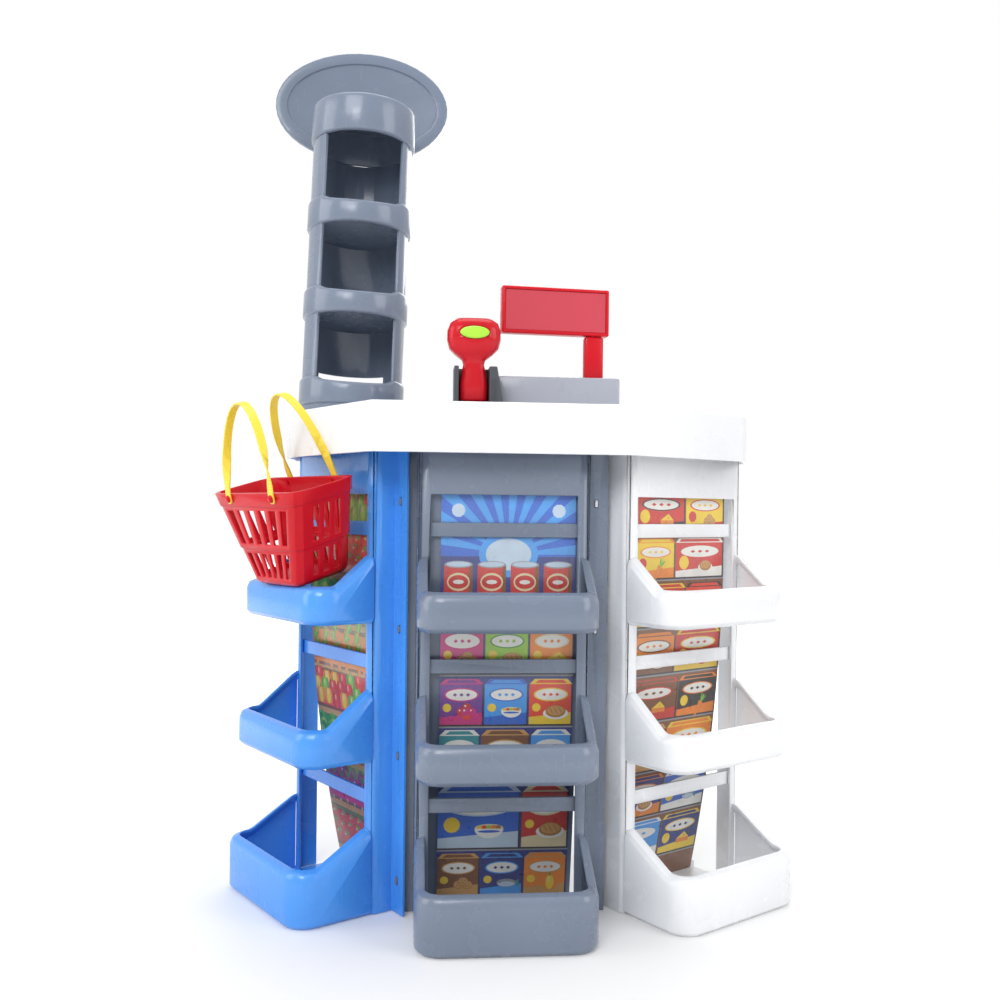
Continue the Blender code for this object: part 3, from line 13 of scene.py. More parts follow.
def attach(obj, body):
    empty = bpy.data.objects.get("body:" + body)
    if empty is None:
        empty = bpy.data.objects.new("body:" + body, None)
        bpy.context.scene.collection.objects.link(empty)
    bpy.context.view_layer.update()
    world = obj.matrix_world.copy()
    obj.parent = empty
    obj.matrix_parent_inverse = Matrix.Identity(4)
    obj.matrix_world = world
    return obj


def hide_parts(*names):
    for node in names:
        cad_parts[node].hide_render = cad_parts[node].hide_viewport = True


bl_info = {
    "name": "Toy Grocery Store",
    "version": (1, 0, 0),
    "blender": (4, 5, 0),
    "location": "View3D > Sidebar > Toy Store",
    "description": "Moulded finishes, printed cards and studio for a toy grocery store",
    "category": "Object",
}

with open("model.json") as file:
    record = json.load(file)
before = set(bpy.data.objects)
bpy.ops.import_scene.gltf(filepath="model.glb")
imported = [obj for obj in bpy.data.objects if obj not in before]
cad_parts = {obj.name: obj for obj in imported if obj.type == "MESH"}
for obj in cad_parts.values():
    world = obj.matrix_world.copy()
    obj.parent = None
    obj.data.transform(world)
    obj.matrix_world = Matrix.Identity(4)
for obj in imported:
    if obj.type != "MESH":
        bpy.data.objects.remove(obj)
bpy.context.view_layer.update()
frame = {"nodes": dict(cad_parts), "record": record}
NODES = frame["nodes"]
BODY_OF = {node: body for body, nodes in frame["record"]["behaviour"]["bodies"].items() for node in nodes}

# Places of the bays in plan, from the CAD: middle of each bay's post line, its turn, and how far its card
# sits to the right of that middle
BAY_PLACES = {
    "blue": ((-0.13947, 0.03087, 0.0), math.radians(-58), 0.0),
    "grey": ((-0.00484, -0.04375, 0.0), 0.0, 0.004),
    "white": ((0.15779, 0.00288, 0.0), math.radians(32), 0.0),
}

# Feet of the counter's pieces on its deck, from the CAD
DECK = 0.4473
REGISTER_FOOT = Vector((-0.00884, -0.02275, DECK))
SCANNER_FOOT = Vector((-0.03184, -0.03575, DECK))
TOWER_FOOT = Vector((-0.14484, 0.05725, 0.447))
TOWER_LEAN = Euler((math.radians(-2.9), math.radians(2.2), math.radians(6.0)))
BASKET_TILT = Euler((math.radians(15.8), 0.0, math.radians(4.2)))

# The register in its own frame, from the CAD: the cover's top, the speaker under it and the sloping keypad
REGISTER_TOP = 0.031
SPEAKER_PLACE = (0.025, 0.0155)
KEYPAD_FRONT = 0.030
KEY_SLOPE = math.radians(5.53)
MIDDLE_COLUMN = 0.056
FIRST_ROW = 0.0095
KEY_COLUMN = 0.022
KEY_ROW = 0.0135
KEY_FACE = 0.00302


# Meshes

def bay_matrix(bay):
    """From a bay's own frame (across, inwards, up) to the world."""
    place, turn, _ = BAY_PLACES[bay]
    return Matrix.Translation(place) @ Matrix.Rotation(turn, 4, "Z")


def add_piece(name, mesh, material):
    """A new object at the origin with one material."""
    piece = bpy.data.objects.new(name, mesh)
    bpy.context.scene.collection.objects.link(piece)
    mesh.materials.clear()
    mesh.materials.append(material)
    return piece


def mesh_from(name, bm, smooth=35):
    """Ends a bmesh as a mesh that is smooth up to an angle."""
    bmesh.ops.recalc_face_normals(bm, faces=bm.faces)
    mesh = bpy.data.meshes.new(name)
    bm.to_mesh(mesh)
    bm.free()
    mesh.shade_smooth()
    mesh.set_sharp_from_angle(angle=math.radians(smooth))
    return mesh


def merged(node):
    """A CAD node's mesh as one connected bmesh."""
    bm = bmesh.new()
    bm.from_mesh(NODES[node].data)
    bmesh.ops.remove_doubles(bm, verts=bm.verts, dist=0.000005)
    return bm


def skin(node, material, edge, segments=2, angle=28, smooth=40, bm=None):
    """A copy of a CAD node, or a finer shape for it, with rounded edges, in place of the node."""
    mesh = mesh_from(node + "_skin", bm or merged(node), smooth)
    piece = add_piece(node + "_skin", mesh, material)
    bevel = piece.modifiers.new("rounded edges", "BEVEL")
    bevel.width = edge
    bevel.segments = segments
    bevel.limit_method = "ANGLE"
    bevel.angle_limit = math.radians(angle)
    bevel.use_clamp_overlap = False
    bevel.miter_outer = "MITER_ARC"
    bevel.harden_normals = True
    return stand_for(piece, node)


def stand_for(piece, *nodes):
    """Rides the piece on the nodes' body and hides them."""
    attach(piece, BODY_OF[nodes[0]])
    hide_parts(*nodes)
    return piece


def dress(node, material):
    """Gives a CAD node that keeps its mesh a better material."""
    for entry in NODES[node].material_slots:
        entry.material = material


def with_node(piece, node):
    """Rides an added piece on a node's body."""
    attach(piece, BODY_OF[node])
    return piece


def add_block(bm, low, high):
    """A box between two corners."""
    size = [b - a for a, b in zip(low, high)]
    middle = [(a + b) / 2 for a, b in zip(low, high)]
    bmesh.ops.create_cube(bm, size=1.0, matrix=Matrix.Translation(middle) @ Matrix.Diagonal((*size, 1.0)))


def join_rings(bm, rings):
    """A closed skin over rings with as many points each, and a face at either end."""
    count = len(rings[0])
    for one, other in zip(rings, rings[1:]):
        for i in range(count):
            bm.faces.new((one[i], one[(i + 1) % count], other[(i + 1) % count], other[i]))
    bm.faces.new(rings[0])
    bm.faces.new(rings[-1])


def corners(node):
    """Every corner of a CAD node, in the world."""
    return [vert.co for vert in NODES[node].data.vertices]


def middle_of(points):
    """The mean of some points."""
    return sum(points, Vector()) / len(points)


# Patterns: Geometry Nodes trees that are run once and left as plain meshes

class Pattern:
    """A stamp set on every point of a mesh, with its sizes as the tree's named inputs."""

    def __init__(self, name, sizes):
        self.name = name
        self.tree = bpy.data.node_groups.new(name, "GeometryNodeTree")
        face = self.tree.interface
        face.new_socket(name="Points", in_out="INPUT", socket_type="NodeSocketGeometry")
        face.new_socket(name="Mesh", in_out="OUTPUT", socket_type="NodeSocketGeometry")
        self.values = {}
        for label, value in sizes.items():
            kind = "NodeSocketInt" if isinstance(value, int) else "NodeSocketFloat"
            socket = face.new_socket(name=label, in_out="INPUT", socket_type=kind)
            self.values[socket.identifier] = value
        self.start = self.tree.nodes.new("NodeGroupInput")

    def add(self, kind, links, **values):
        """A node with its properties, and its inputs fed by sockets, sizes by name or numbers."""
        node = self.tree.nodes.new(kind)
        for name, value in values.items():
            setattr(node, name, value)
        for label, source in links.items():
            socket = node.inputs[label]
            if isinstance(source, str):
                self.tree.links.new(self.start.outputs[source], socket)
            elif isinstance(source, bpy.types.NodeSocket):
                self.tree.links.new(source, socket)
            else:
                socket.default_value = source
        return node

    def vector(self, x, y, z):
        """A vector of sizes by name or numbers."""
        return self.add("ShaderNodeCombineXYZ", {"X": x, "Y": y, "Z": z}).outputs["Vector"]

    def stamp(self, shape, places, material, smooth=35):
        """Sets the shape on the places, each a point with its turn, and leaves one plain mesh."""
        turn = self.add("GeometryNodeInputNamedAttribute", {}, data_type="FLOAT_VECTOR")
        turn.inputs["Name"].default_value = "turn"
        spread = self.add("GeometryNodeInstanceOnPoints",
                          {"Points": "Points", "Instance": shape, "Rotation": turn.outputs["Attribute"]})
        real = self.add("GeometryNodeRealizeInstances", {"Geometry": spread.outputs["Instances"]})
        paint = self.add("GeometryNodeSetMaterial",
                         {"Geometry": real.outputs["Geometry"], "Material": material})
        end = self.tree.nodes.new("NodeGroupOutput")
        self.tree.links.new(paint.outputs["Geometry"], end.inputs["Mesh"])
        base = bpy.data.meshes.new(self.name)
        base.from_pydata([place.translation for place in places], [], [])
        turns = base.attributes.new("turn", "FLOAT_VECTOR", "POINT")
        for entry, place in zip(turns.data, places):
            entry.vector = place.to_euler()
        holder = bpy.data.objects.new(self.name, base)
        bpy.context.scene.collection.objects.link(holder)
        modifier = holder.modifiers.new(self.name, "NODES")
        modifier.node_group = self.tree
        for identifier, value in self.values.items():
            modifier[identifier] = value
        seen = holder.evaluated_get(bpy.context.evaluated_depsgraph_get())
        mesh = bpy.data.meshes.new_from_object(seen)
        bpy.data.objects.remove(holder)
        mesh.name = self.name
        mesh.shade_smooth()
        mesh.set_sharp_from_angle(angle=math.radians(smooth))
        return add_piece(self.name, mesh, material)


def discs(name, places, radius, height, material):
    """Round flat-topped studs on the places."""
    pattern = Pattern(name, {"Radius": radius, "Height": height, "Sides": 20})
    stud = pattern.add("GeometryNodeMeshCylinder",
                       {"Vertices": "Sides", "Radius": "Radius", "Depth": "Height"})
    return pattern.stamp(stud.outputs["Mesh"], places, material)


def domes(name, places, radius, height, material):
    """Low domed heads on the places, half sunk."""
    pattern = Pattern(name, {"Radius": radius, "Height": height, "Sides": 24, "Rings": 12})
    ball = pattern.add("GeometryNodeMeshUVSphere", {"Segments": "Sides", "Rings": "Rings", "Radius": 1.0})
    low = pattern.add("GeometryNodeTransform", {"Geometry": ball.outputs["Mesh"],
                                                "Scale": pattern.vector("Radius", "Radius", "Height")})
    return pattern.stamp(low.outputs["Geometry"], places, material, 70)


def bars(name, places, size, material):
    """Straight ribs on the places."""
    pattern = Pattern(name, {"Width": size[0], "Depth": size[1], "Height": size[2]})
    rib = pattern.add("GeometryNodeMeshCube", {"Size": pattern.vector("Width", "Depth", "Height")})
    return pattern.stamp(rib.outputs["Mesh"], places, material)


def crosses(name, places, length, width, material):
    """Cross recesses on the places, drawn as two thin bars of painted shade in place of real recesses."""
    pattern = Pattern(name, {"Length": length, "Width": width, "Height": 0.0001})
    one = pattern.add("GeometryNodeMeshCube", {"Size": pattern.vector("Length", "Width", "Height")})
    other = pattern.add("GeometryNodeMeshCube", {"Size": pattern.vector("Width", "Length", "Height")})
    both = pattern.tree.nodes.new("GeometryNodeJoinGeometry")
    for bar in (one, other):
        pattern.tree.links.new(bar.outputs["Mesh"], both.inputs["Geometry"])
    return pattern.stamp(both.outputs["Geometry"], places, material)


# Materials

WHITE = (1.0, 1.0, 1.0, 1.0)


def set_inputs(node, values):
    """Sets a node's unlinked inputs by name."""
    for name, value in values.items():
        node.inputs[name].default_value = value


def tint(colour, factor):
    """A colour made lighter or darker, as a socket value."""
    return tuple(min(1.0, part * factor) for part in colour) + (1.0,)


class Surface:
    """A node material that is put together step by step."""

    def __init__(self, name, colour, roughness, metallic=0.0):
        self.material = bpy.data.materials.new(name)
        self.material.use_nodes = True
        tree = self.material.node_tree
        self.nodes = tree.nodes
        self.links = tree.links
        self.shader = tree.nodes["Principled BSDF"]
        set_inputs(self.shader, {"Base Color": (*colour, 1.0), "Roughness": roughness, "Metallic": metallic})
        self.place = self.add("ShaderNodeTexCoord").outputs["Object"]
        self.normal = None

    def add(self, kind, **values):
        """A node with its properties."""
        node = self.nodes.new(kind)
        for name, value in values.items():
            setattr(node, name, value)
        return node

    def put(self, socket, value):
        """Feeds a socket from another one, or with a number or colour."""
        if isinstance(value, bpy.types.NodeSocket):
            self.links.new(value, socket)
        else:
            socket.default_value = value

    def noise(self, scale, detail=2.0, stretch=None):
        """Cloudy noise over the piece, drawn out where its scale is small."""
        node = self.add("ShaderNodeTexNoise")
        set_inputs(node, {"Scale": scale, "Detail": detail})
        source = self.place
        if stretch:
            mapping = self.add("ShaderNodeMapping")
            mapping.inputs["Scale"].default_value = stretch
            self.links.new(source, mapping.inputs["Vector"])
            source = mapping.outputs["Vector"]
        self.links.new(source, node.inputs["Vector"])
        return node.outputs["Fac"]

    def cells(self, scale):
        """Distance from the nearest of many scattered points."""
        node = self.add("ShaderNodeTexVoronoi")
        node.inputs["Scale"].default_value = scale
        self.links.new(self.place, node.inputs["Vector"])
        return node.outputs["Distance"]

    def span(self, value, low, high, to_low, to_high):
        """A value brought from one range into another, and held within it."""
        node = self.add("ShaderNodeMapRange")
        self.put(node.inputs["Value"], value)
        set_inputs(node, {"From Min": low, "From Max": high, "To Min": to_low, "To Max": to_high})
        return node.outputs["Result"]

    def maths(self, operation, first, second):
        """One sum on two values."""
        node = self.add("ShaderNodeMath", operation=operation)
        self.put(node.inputs[0], first)
        self.put(node.inputs[1], second)
        return node.outputs["Value"]

    def mix(self, share, first, second):
        """A share of the second colour over the first."""
        node = self.add("ShaderNodeMix", data_type="RGBA")
        self.put(node.inputs["Factor"], share)
        self.put(node.inputs["A"], first)
        self.put(node.inputs["B"], second)
        return next(socket for socket in node.outputs if socket.type == "RGBA")

    def clouded(self, cloud, colour, dark, light):
        """From a darker to a lighter tint of a colour, after a noise."""
        return self.mix(self.span(cloud, 0.3, 0.7, 0.0, 1.0), tint(colour, dark), tint(colour, light))

    def bump(self, height, distance, strength=1.0):
        """Adds relief on top of the relief so far."""
        node = self.add("ShaderNodeBump")
        set_inputs(node, {"Strength": strength, "Distance": distance})
        self.links.new(height, node.inputs["Height"])
        if self.normal:
            self.links.new(self.normal, node.inputs["Normal"])
        self.normal = node.outputs["Normal"]

    def finish(self, colour=None, roughness=None):
        """Links what was made to the shader and gives the material."""
        for name, source in (("Base Color", colour), ("Roughness", roughness), ("Normal", self.normal)):
            if source:
                self.links.new(source, self.shader.inputs[name])
        return self.material


def moulded(name, colour, roughness=0.25, coat=0.25, peel=0.00004, waves=0.0005, gloss=0.38):
    """Glossy injection-moulded plastic: flow marks, faint sink waves, fine peel, dust and light scuffs."""
    surface = Surface(name, colour, roughness)
    set_inputs(surface.shader, {"Coat Weight": coat, "Coat Roughness": 0.08, "IOR": 1.49,
                                "Specular IOR Level": gloss})
    tone = surface.clouded(surface.noise(7.0, 3.0, (1.0, 1.0, 0.35)), colour, 0.93, 1.06)
    speck = surface.noise(950.0, 1.0)
    tone = surface.mix(surface.span(speck, 0.66, 0.78, 0.0, 0.10), tone, tint(colour, 0.72))
    haze = surface.span(surface.noise(38.0, 4.0), 0.35, 0.75, roughness - 0.05, roughness + 0.09)
    scuff = surface.span(surface.noise(240.0, 2.0, (1.0, 1.0, 0.08)), 0.67, 0.74, 0.0, 0.12)
    surface.bump(surface.noise(22.0, 1.0), waves, 0.35)
    surface.bump(surface.noise(1100.0, 1.0), peel, 0.5)
    return surface.finish(tone, surface.maths("ADD", haze, scuff))


def grained(name, colour, roughness=0.5, grain=0.00012, scale=1400.0):
    """Matte plastic with a fine spark-eroded grain, its pits darkened as painted shade."""
    surface = Surface(name, colour, roughness)
    surface.shader.inputs["IOR"].default_value = 1.5
    tone = surface.clouded(surface.noise(14.0, 3.0), colour, 0.86, 1.15)
    pits = surface.cells(scale)
    # The grain's pits are darkened: painted shade in its small recesses
    tone = surface.mix(surface.span(pits, 0.0, 0.5, 0.25, 0.0), tone, tint(colour, 0.6))
    surface.bump(pits, grain, 0.6)
    wear = surface.noise(90.0, 3.0)
    return surface.finish(tone, surface.span(wear, 0.3, 0.7, roughness - 0.06, roughness + 0.08))


def plated(name, colour, roughness=0.28):
    """Zinc-plated steel: cloudy tone, fine turning marks and a few dull spots."""
    surface = Surface(name, colour, roughness, 1.0)
    cloud = surface.noise(300.0, 3.0)
    tone = surface.clouded(cloud, colour, 0.8, 1.15)
    surface.bump(surface.noise(2500.0, 2.0, (1.0, 1.0, 0.05)), 0.00003, 0.4)
    return surface.finish(tone, surface.span(cloud, 0.3, 0.7, roughness - 0.06, roughness + 0.14))


def smoked(name, colour):
    """Dark glossy plastic of the scanner's window, with faint dust."""
    surface = Surface(name, colour, 0.08)
    surface.shader.inputs["Coat Weight"].default_value = 0.8
    dust = surface.noise(700.0, 2.0)
    tone = surface.mix(surface.span(dust, 0.6, 0.8, 0.0, 0.2), tint(colour, 1.0), (0.12, 0.09, 0.1, 1.0))
    return surface.finish(tone, surface.span(dust, 0.4, 0.8, 0.05, 0.2))


def printed(name):
    """Printed plastic sheet: its ink colours are on the mesh, under a thin gloss film."""
    surface = Surface(name, (0.8, 0.8, 0.8), 0.32)
    set_inputs(surface.shader, {"Coat Weight": 0.35, "Coat Roughness": 0.12})
    ink = surface.add("ShaderNodeAttribute", attribute_name="ink", attribute_type="GEOMETRY").outputs["Color"]
    screen = surface.span(surface.cells(1700.0), 0.2, 0.6, 0.0, 0.10)
    tone = surface.mix(screen, ink, (0.9, 0.9, 0.85, 1.0))
    blotch = surface.span(surface.noise(45.0, 4.0), 0.3, 0.7, 0.0, 0.16)
    tone = surface.mix(blotch, tone, (0.16, 0.10, 0.08, 1.0))
    surface.bump(surface.noise(9.0, 2.0), 0.002, 0.2)
    return surface.finish(tone, surface.span(surface.noise(60.0, 2.0), 0.3, 0.7, 0.26, 0.4))


def sheet_back(name, colour):
    """The unprinted side of a card: white plastic sheet with faint calender lines."""
    surface = Surface(name, colour, 0.42)
    cloud = surface.noise(30.0, 4.0)
    tone = surface.clouded(cloud, colour, 0.93, 1.04)
    surface.bump(surface.noise(500.0, 2.0, (1.0, 1.0, 0.02)), 0.00004, 0.4)
    return surface.finish(tone, surface.span(cloud, 0.3, 0.7, 0.36, 0.5))


# Printed cards, drawn in millimetres: x across the card, z up from the floor

CARD_HALF = 59.0
CARD_LOW = 3.4
CARD_HIGH = 427.9
MERGE = 0.0005
PACK_GAP = 1.2
INKS = {
    "white": (0.86, 0.86, 0.82), "cream": (0.80, 0.68, 0.42), "black": (0.015, 0.014, 0.02),
    "navy": (0.010, 0.030, 0.22), "blue": (0.015, 0.13, 0.62), "sky": (0.05, 0.34, 0.85),
    "teal": (0.01, 0.28, 0.33), "green": (0.03, 0.30, 0.03), "lime": (0.30, 0.58, 0.03),
    "leaf": (0.09, 0.42, 0.03), "yellow": (0.88, 0.62, 0.03), "orange": (0.86, 0.24, 0.01),
    "red": (0.62, 0.02, 0.015), "tomato": (0.78, 0.05, 0.015), "magenta": (0.62, 0.02, 0.22),
    "purple": (0.16, 0.03, 0.30), "brown": (0.20, 0.07, 0.02), "tan": (0.62, 0.33, 0.10),
    "crust": (0.45, 0.19, 0.04), "grey": (0.30, 0.32, 0.36), "pale": (0.52, 0.66, 0.80),
}


class Sheet:
    """Flat shapes of ink on a card; a later shape covers an earlier one."""

    def __init__(self, ground):
        self.shapes = []
        self.block(-CARD_HALF, CARD_LOW, CARD_HALF, CARD_HIGH, ground)

    def shape(self, points, ink):
        """Adds an outline, turned anticlockwise, with its ink."""
        area = sum(a[0] * b[1] - b[0] * a[1] for a, b in zip(points, points[1:] + points[:1]))
        self.shapes.append((points if area > 0 else points[::-1], INKS[ink]))

    def block(self, left, low, right, high, ink):
        """Adds an upright rectangle."""
        self.shape([(left, low), (right, low), (right, high), (left, high)], ink)

    def disc(self, x, z, wide, tall, ink, sides=16, turn=0.0, start=0.0, sweep=360.0):
        """Adds an ellipse of two half widths, or a sector of one, in degrees."""
        points = []
        for i in range(sides if sweep >= 360.0 else sides + 1):
            angle = math.radians(start + sweep * i / sides)
            across = wide * math.cos(angle)
            up = tall * math.sin(angle)
            points.append((x + across * math.cos(turn) - up * math.sin(turn),
                           z + across * math.sin(turn) + up * math.cos(turn)))
        self.shape(points, ink)

    def mesh(self, name, bay, film, strip):
        """The shapes as one sheet that follows the card's curve, with its ink on the faces."""
        points, faces = [], []
        for outline, ink in self.shapes:
            faces.append(list(range(len(points), len(points) + len(outline))))
            points += [Vector(p) for p in outline]
        edges = []
        bend = CARD_LOW
        while bend < CARD_HIGH:
            edges.append((len(points), len(points) + 1))
            points += [Vector((-CARD_HALF, bend)), Vector((CARD_HALF, bend))]
            bend += strip * 1000
        verts, _, triangles, _, _, owners = delaunay_2d_cdt(points, edges, faces, 1, MERGE)
        inside = []
        for triangle, owner in zip(triangles, owners):
            x = sum(verts[i].x for i in triangle) / len(triangle)
            z = sum(verts[i].y for i in triangle) / len(triangle)
            if owner and abs(x) < CARD_HALF and CARD_LOW < z < CARD_HIGH:
                inside.append((triangle, self.shapes[max(owner)][1]))
        place = bay_matrix(bay)
        shift = BAY_PLACES[bay][2]
        used = sorted({i for triangle, ink in inside for i in triangle})
        number = {old: new for new, old in enumerate(used)}
        spots = []
        for i in used:
            height = verts[i].y / 1000
            spots.append(place @ Vector((verts[i].x / 1000 + shift, -card_front(height) - film, height)))
        mesh = bpy.data.meshes.new(name)
        mesh.from_pydata(spots, [], [[number[i] for i in triangle] for triangle, ink in inside])
        inks = mesh.color_attributes.new("ink", "FLOAT_COLOR", "CORNER")
        corner = 0
        for triangle, ink in inside:
            for _ in triangle:
                inks.data[corner].color = (*ink, 1.0)
                corner += 1
        mesh.shade_smooth()
        return mesh


def card_front(height):
    """How far out a card's face stands in its bay at a height, as in the CAD."""
    upright, toe = 0.0146, -0.024
    bend, foot = 0.330, 0.0033
    if height >= bend:
        return upright
    share = (bend - height) / (bend - foot)
    return upright + (toe - upright) * share * share


class Spot:
    """A place on a sheet, from which a motif is drawn in shares of its size."""

    def __init__(self, sheet, x, z, size):
        self.sheet = sheet
        self.x = x
        self.z = z
        self.size = size

    def disc(self, across, up, wide, tall, *rest):
        self.sheet.disc(self.x + self.size * across, self.z + self.size * up, self.size * wide,
                        self.size * tall, *rest)

    def shape(self, points, ink):
        self.sheet.shape([(self.x + self.size * across, self.z + self.size * up)
                          for across, up in points], ink)

    def block(self, left, low, right, high, ink):
        self.shape([(left, low), (right, low), (right, high), (left, high)], ink)


def tomato(spot):
    spot.disc(0.0, 0.0, 1.0, 0.86, "red")
    spot.disc(-0.08, 0.08, 0.84, 0.7, "tomato")
    spot.disc(-0.35, 0.32, 0.2, 0.12, "cream", 8)
    for k in range(5):
        angle = math.radians(90 + 72 * k)
        spot.disc(0.2 * math.cos(angle), 0.55 + 0.12 * math.sin(angle), 0.26, 0.08, "leaf", 6, angle)


def carrot(spot, turn=0.5):
    size = spot.size
    along = Vector((math.sin(turn), math.cos(turn)))
    side = Vector((along.y, -along.x))
    root = Vector((spot.x, spot.z))
    tip = root - along * size * 1.9
    for reach, ink in ((0.42, "crust"), (0.34, "orange")):
        points = [root + side * size * reach, tip + side * size * 0.05, tip - side * size * 0.05,
                  root - side * size * reach, root + along * size * 0.12]
        spot.sheet.shape([tuple(p) for p in points], ink)
    for k in (-1, 0, 1):
        leaf = root + along * size * 0.5 + side * size * 0.22 * k
        spot.sheet.disc(leaf.x, leaf.y, size * 0.5, size * 0.12, "leaf" if k else "lime", 8,
                        math.pi / 2 - turn - 0.35 * k)


def lettuce(spot):
    for k in range(7):
        angle = math.radians(51 * k)
        ink = "green" if k % 2 else "leaf"
        spot.disc(0.5 * math.cos(angle), 0.4 * math.sin(angle), 0.55, 0.45, ink, 11, angle)
    spot.disc(0.0, 0.0, 0.48, 0.42, "lime", 11)
    spot.disc(0.0, 0.0, 0.06, 0.4, "cream", 8)


def pepper(spot, ink="yellow"):
    shade = {"yellow": "orange", "tomato": "red", "lime": "leaf"}[ink]
    for k in (-1, 1, 0):
        spot.disc(0.38 * k, 0.0, 0.42, 0.8, shade if k else ink, 12)
    spot.disc(-0.1, 0.3, 0.09, 0.3, "cream", 8)
    spot.block(-0.08, 0.7, 0.08, 1.05, "green")


def radish(spot):
    spot.shape([(-0.2, -0.7), (0.2, -0.7), (0.0, -1.4)], "cream")
    spot.disc(0.0, 0.0, 0.8, 0.85, "magenta", 14)
    spot.disc(-0.25, 0.25, 0.2, 0.2, "white", 8)
    for k in (-1, 1):
        spot.disc(0.25 * k, 1.05, 0.18, 0.5, "leaf", 8, -0.4 * k)


def pie(spot):
    spot.disc(0.0, -0.2, 1.25, 0.6, "white")
    spot.disc(0.0, 0.0, 1.0, 0.62, "crust")
    spot.disc(0.0, 0.08, 0.84, 0.48, "tan")
    for k in (-1, 0, 1):
        spot.disc(0.45 * k, 0.1, 0.06, 0.4, "crust", 8, 0.5)


def berries(spot):
    for k, (across, up) in enumerate(((-0.55, 0.0), (0.55, 0.0), (0.0, -0.4), (0.0, 0.45), (-0.1, 0.0))):
        spot.disc(across, up, 0.42, 0.42, ("red", "magenta", "tomato")[k % 3], 10)
        spot.disc(across - 0.12, up + 0.14, 0.1, 0.1, "white", 6)


def cheese(spot):
    spot.block(-1.0, -0.5, 1.0, 0.0, "orange")
    spot.shape([(-1.0, 0.0), (1.0, 0.0), (0.2, 0.7)], "yellow")
    for across, up in ((-0.5, -0.25), (0.1, -0.3), (0.6, -0.2), (0.2, 0.25)):
        spot.disc(across, up, 0.13, 0.1, "tan", 8)


def fish(spot):
    spot.shape([(0.7, 0.0), (1.25, 0.45), (1.25, -0.45)], "teal")
    spot.disc(0.0, 0.0, 1.0, 0.45, "grey")
    spot.disc(0.0, -0.12, 0.85, 0.27, "pale", 14)
    spot.disc(-0.62, 0.08, 0.08, 0.08, "black", 8)


def bowl(spot):
    spot.disc(0.0, 0.15, 1.0, 0.3, "cream")
    for k, ink in enumerate(("yellow", "tomato", "lime", "orange", "crust")):
        spot.disc(0.32 * k - 0.64, 0.2, 0.2, 0.16, ink, 8)
    spot.disc(0.0, 0.1, 1.0, 0.7, "white", 14, 0.0, 180.0, 180.0)
    spot.disc(0.0, -0.1, 0.8, 0.1, "blue", 10)


def biscuits(spot):
    for across, up in ((-0.45, -0.1), (0.45, -0.15), (0.0, 0.25)):
        spot.disc(across, up, 0.52, 0.46, "crust", 14)
        spot.disc(across, up, 0.44, 0.38, "tan", 14)
        for k in range(4):
            angle = math.radians(90 * k + 30)
            spot.disc(across + 0.2 * math.cos(angle), up + 0.18 * math.sin(angle), 0.06, 0.06, "brown", 6)


MOTIFS = {draw.__name__: draw for draw in (tomato, carrot, lettuce, pepper, radish, pie, berries, cheese,
                                           fish, bowl, biscuits)}


def carton(sheet, left, low, wide, tall, body, trim, motif):
    """A food box seen from a little above, with a bare label, a motif and a coloured foot."""
    right = left + wide
    high = low + tall
    lid = tall * 0.13
    sheet.shape([(left, high), (right, high), (right - lid, high + lid), (left + lid, high + lid)], trim)
    sheet.shape([(left + lid, high + lid * 0.2), (right - lid, high + lid * 0.2),
                 (right - lid * 1.8, high + lid * 0.8), (left + lid * 1.8, high + lid * 0.8)], body)
    sheet.block(left, low, right, high, body)
    sheet.shape([(left, low), (right, low), (right, low + tall * 0.30), (left, low + tall * 0.18)], trim)
    middle = left + wide * 0.5
    label = low + tall * 0.74
    sheet.disc(middle, label, wide * 0.40, tall * 0.17, trim, 18)
    sheet.disc(middle, label, wide * 0.36, tall * 0.14, "white", 18)
    for k in (-1, 0, 1):
        sheet.disc(middle + wide * 0.15 * k, label, wide * 0.05, tall * 0.045, body, 4)
    MOTIFS[motif](Spot(sheet, left + wide * 0.62, low + tall * 0.32, min(wide, tall) * 0.25))
    flash = "red" if body == "yellow" else "yellow"
    sheet.disc(left + wide * 0.17, low + tall * 0.42, wide * 0.1, wide * 0.1, flash, 12)
    sheet.block(right - wide * 0.025, low, right, high, "black")


def tin(sheet, middle, low, wide, tall, body, motif):
    """A tin with a steel lid, a pale oval and a motif."""
    half = wide / 2
    sheet.disc(middle, low, half, tall * 0.07, "brown")
    sheet.block(middle - half, low, middle + half, low + tall, body)
    sheet.block(middle + half * 0.72, low, middle + half, low + tall, "brown")
    sheet.disc(middle, low + tall, half, tall * 0.08, "grey")
    sheet.disc(middle, low + tall * 1.005, half * 0.86, tall * 0.055, "pale")
    label = low + tall * 0.62
    sheet.disc(middle, label, half * 0.8, tall * 0.2, "cream")
    sheet.disc(middle, label, half * 0.7, tall * 0.15, body)
    sheet.disc(middle, label, half * 0.4, tall * 0.05, "white", 8)
    MOTIFS[motif](Spot(sheet, middle, low + tall * 0.24, half * 0.42))


def board(sheet, low):
    """A printed shelf edge."""
    sheet.block(-CARD_HALF, low - 3.0, CARD_HALF, low, "black")
    sheet.block(-CARD_HALF, low - 3.0, CARD_HALF, low - 1.6, "grey")


def row_of(sheet, low, tall, packs):
    """A shelf of cartons side by side; each pack is its share, body, trim and motif."""
    board(sheet, low)
    total = sum(pack[0] for pack in packs)
    left = -CARD_HALF
    for share, body, trim, motif in packs:
        wide = 2 * CARD_HALF * share / total
        carton(sheet, left + PACK_GAP / 2, low, wide - PACK_GAP, tall, body, trim, motif)
        left += wide


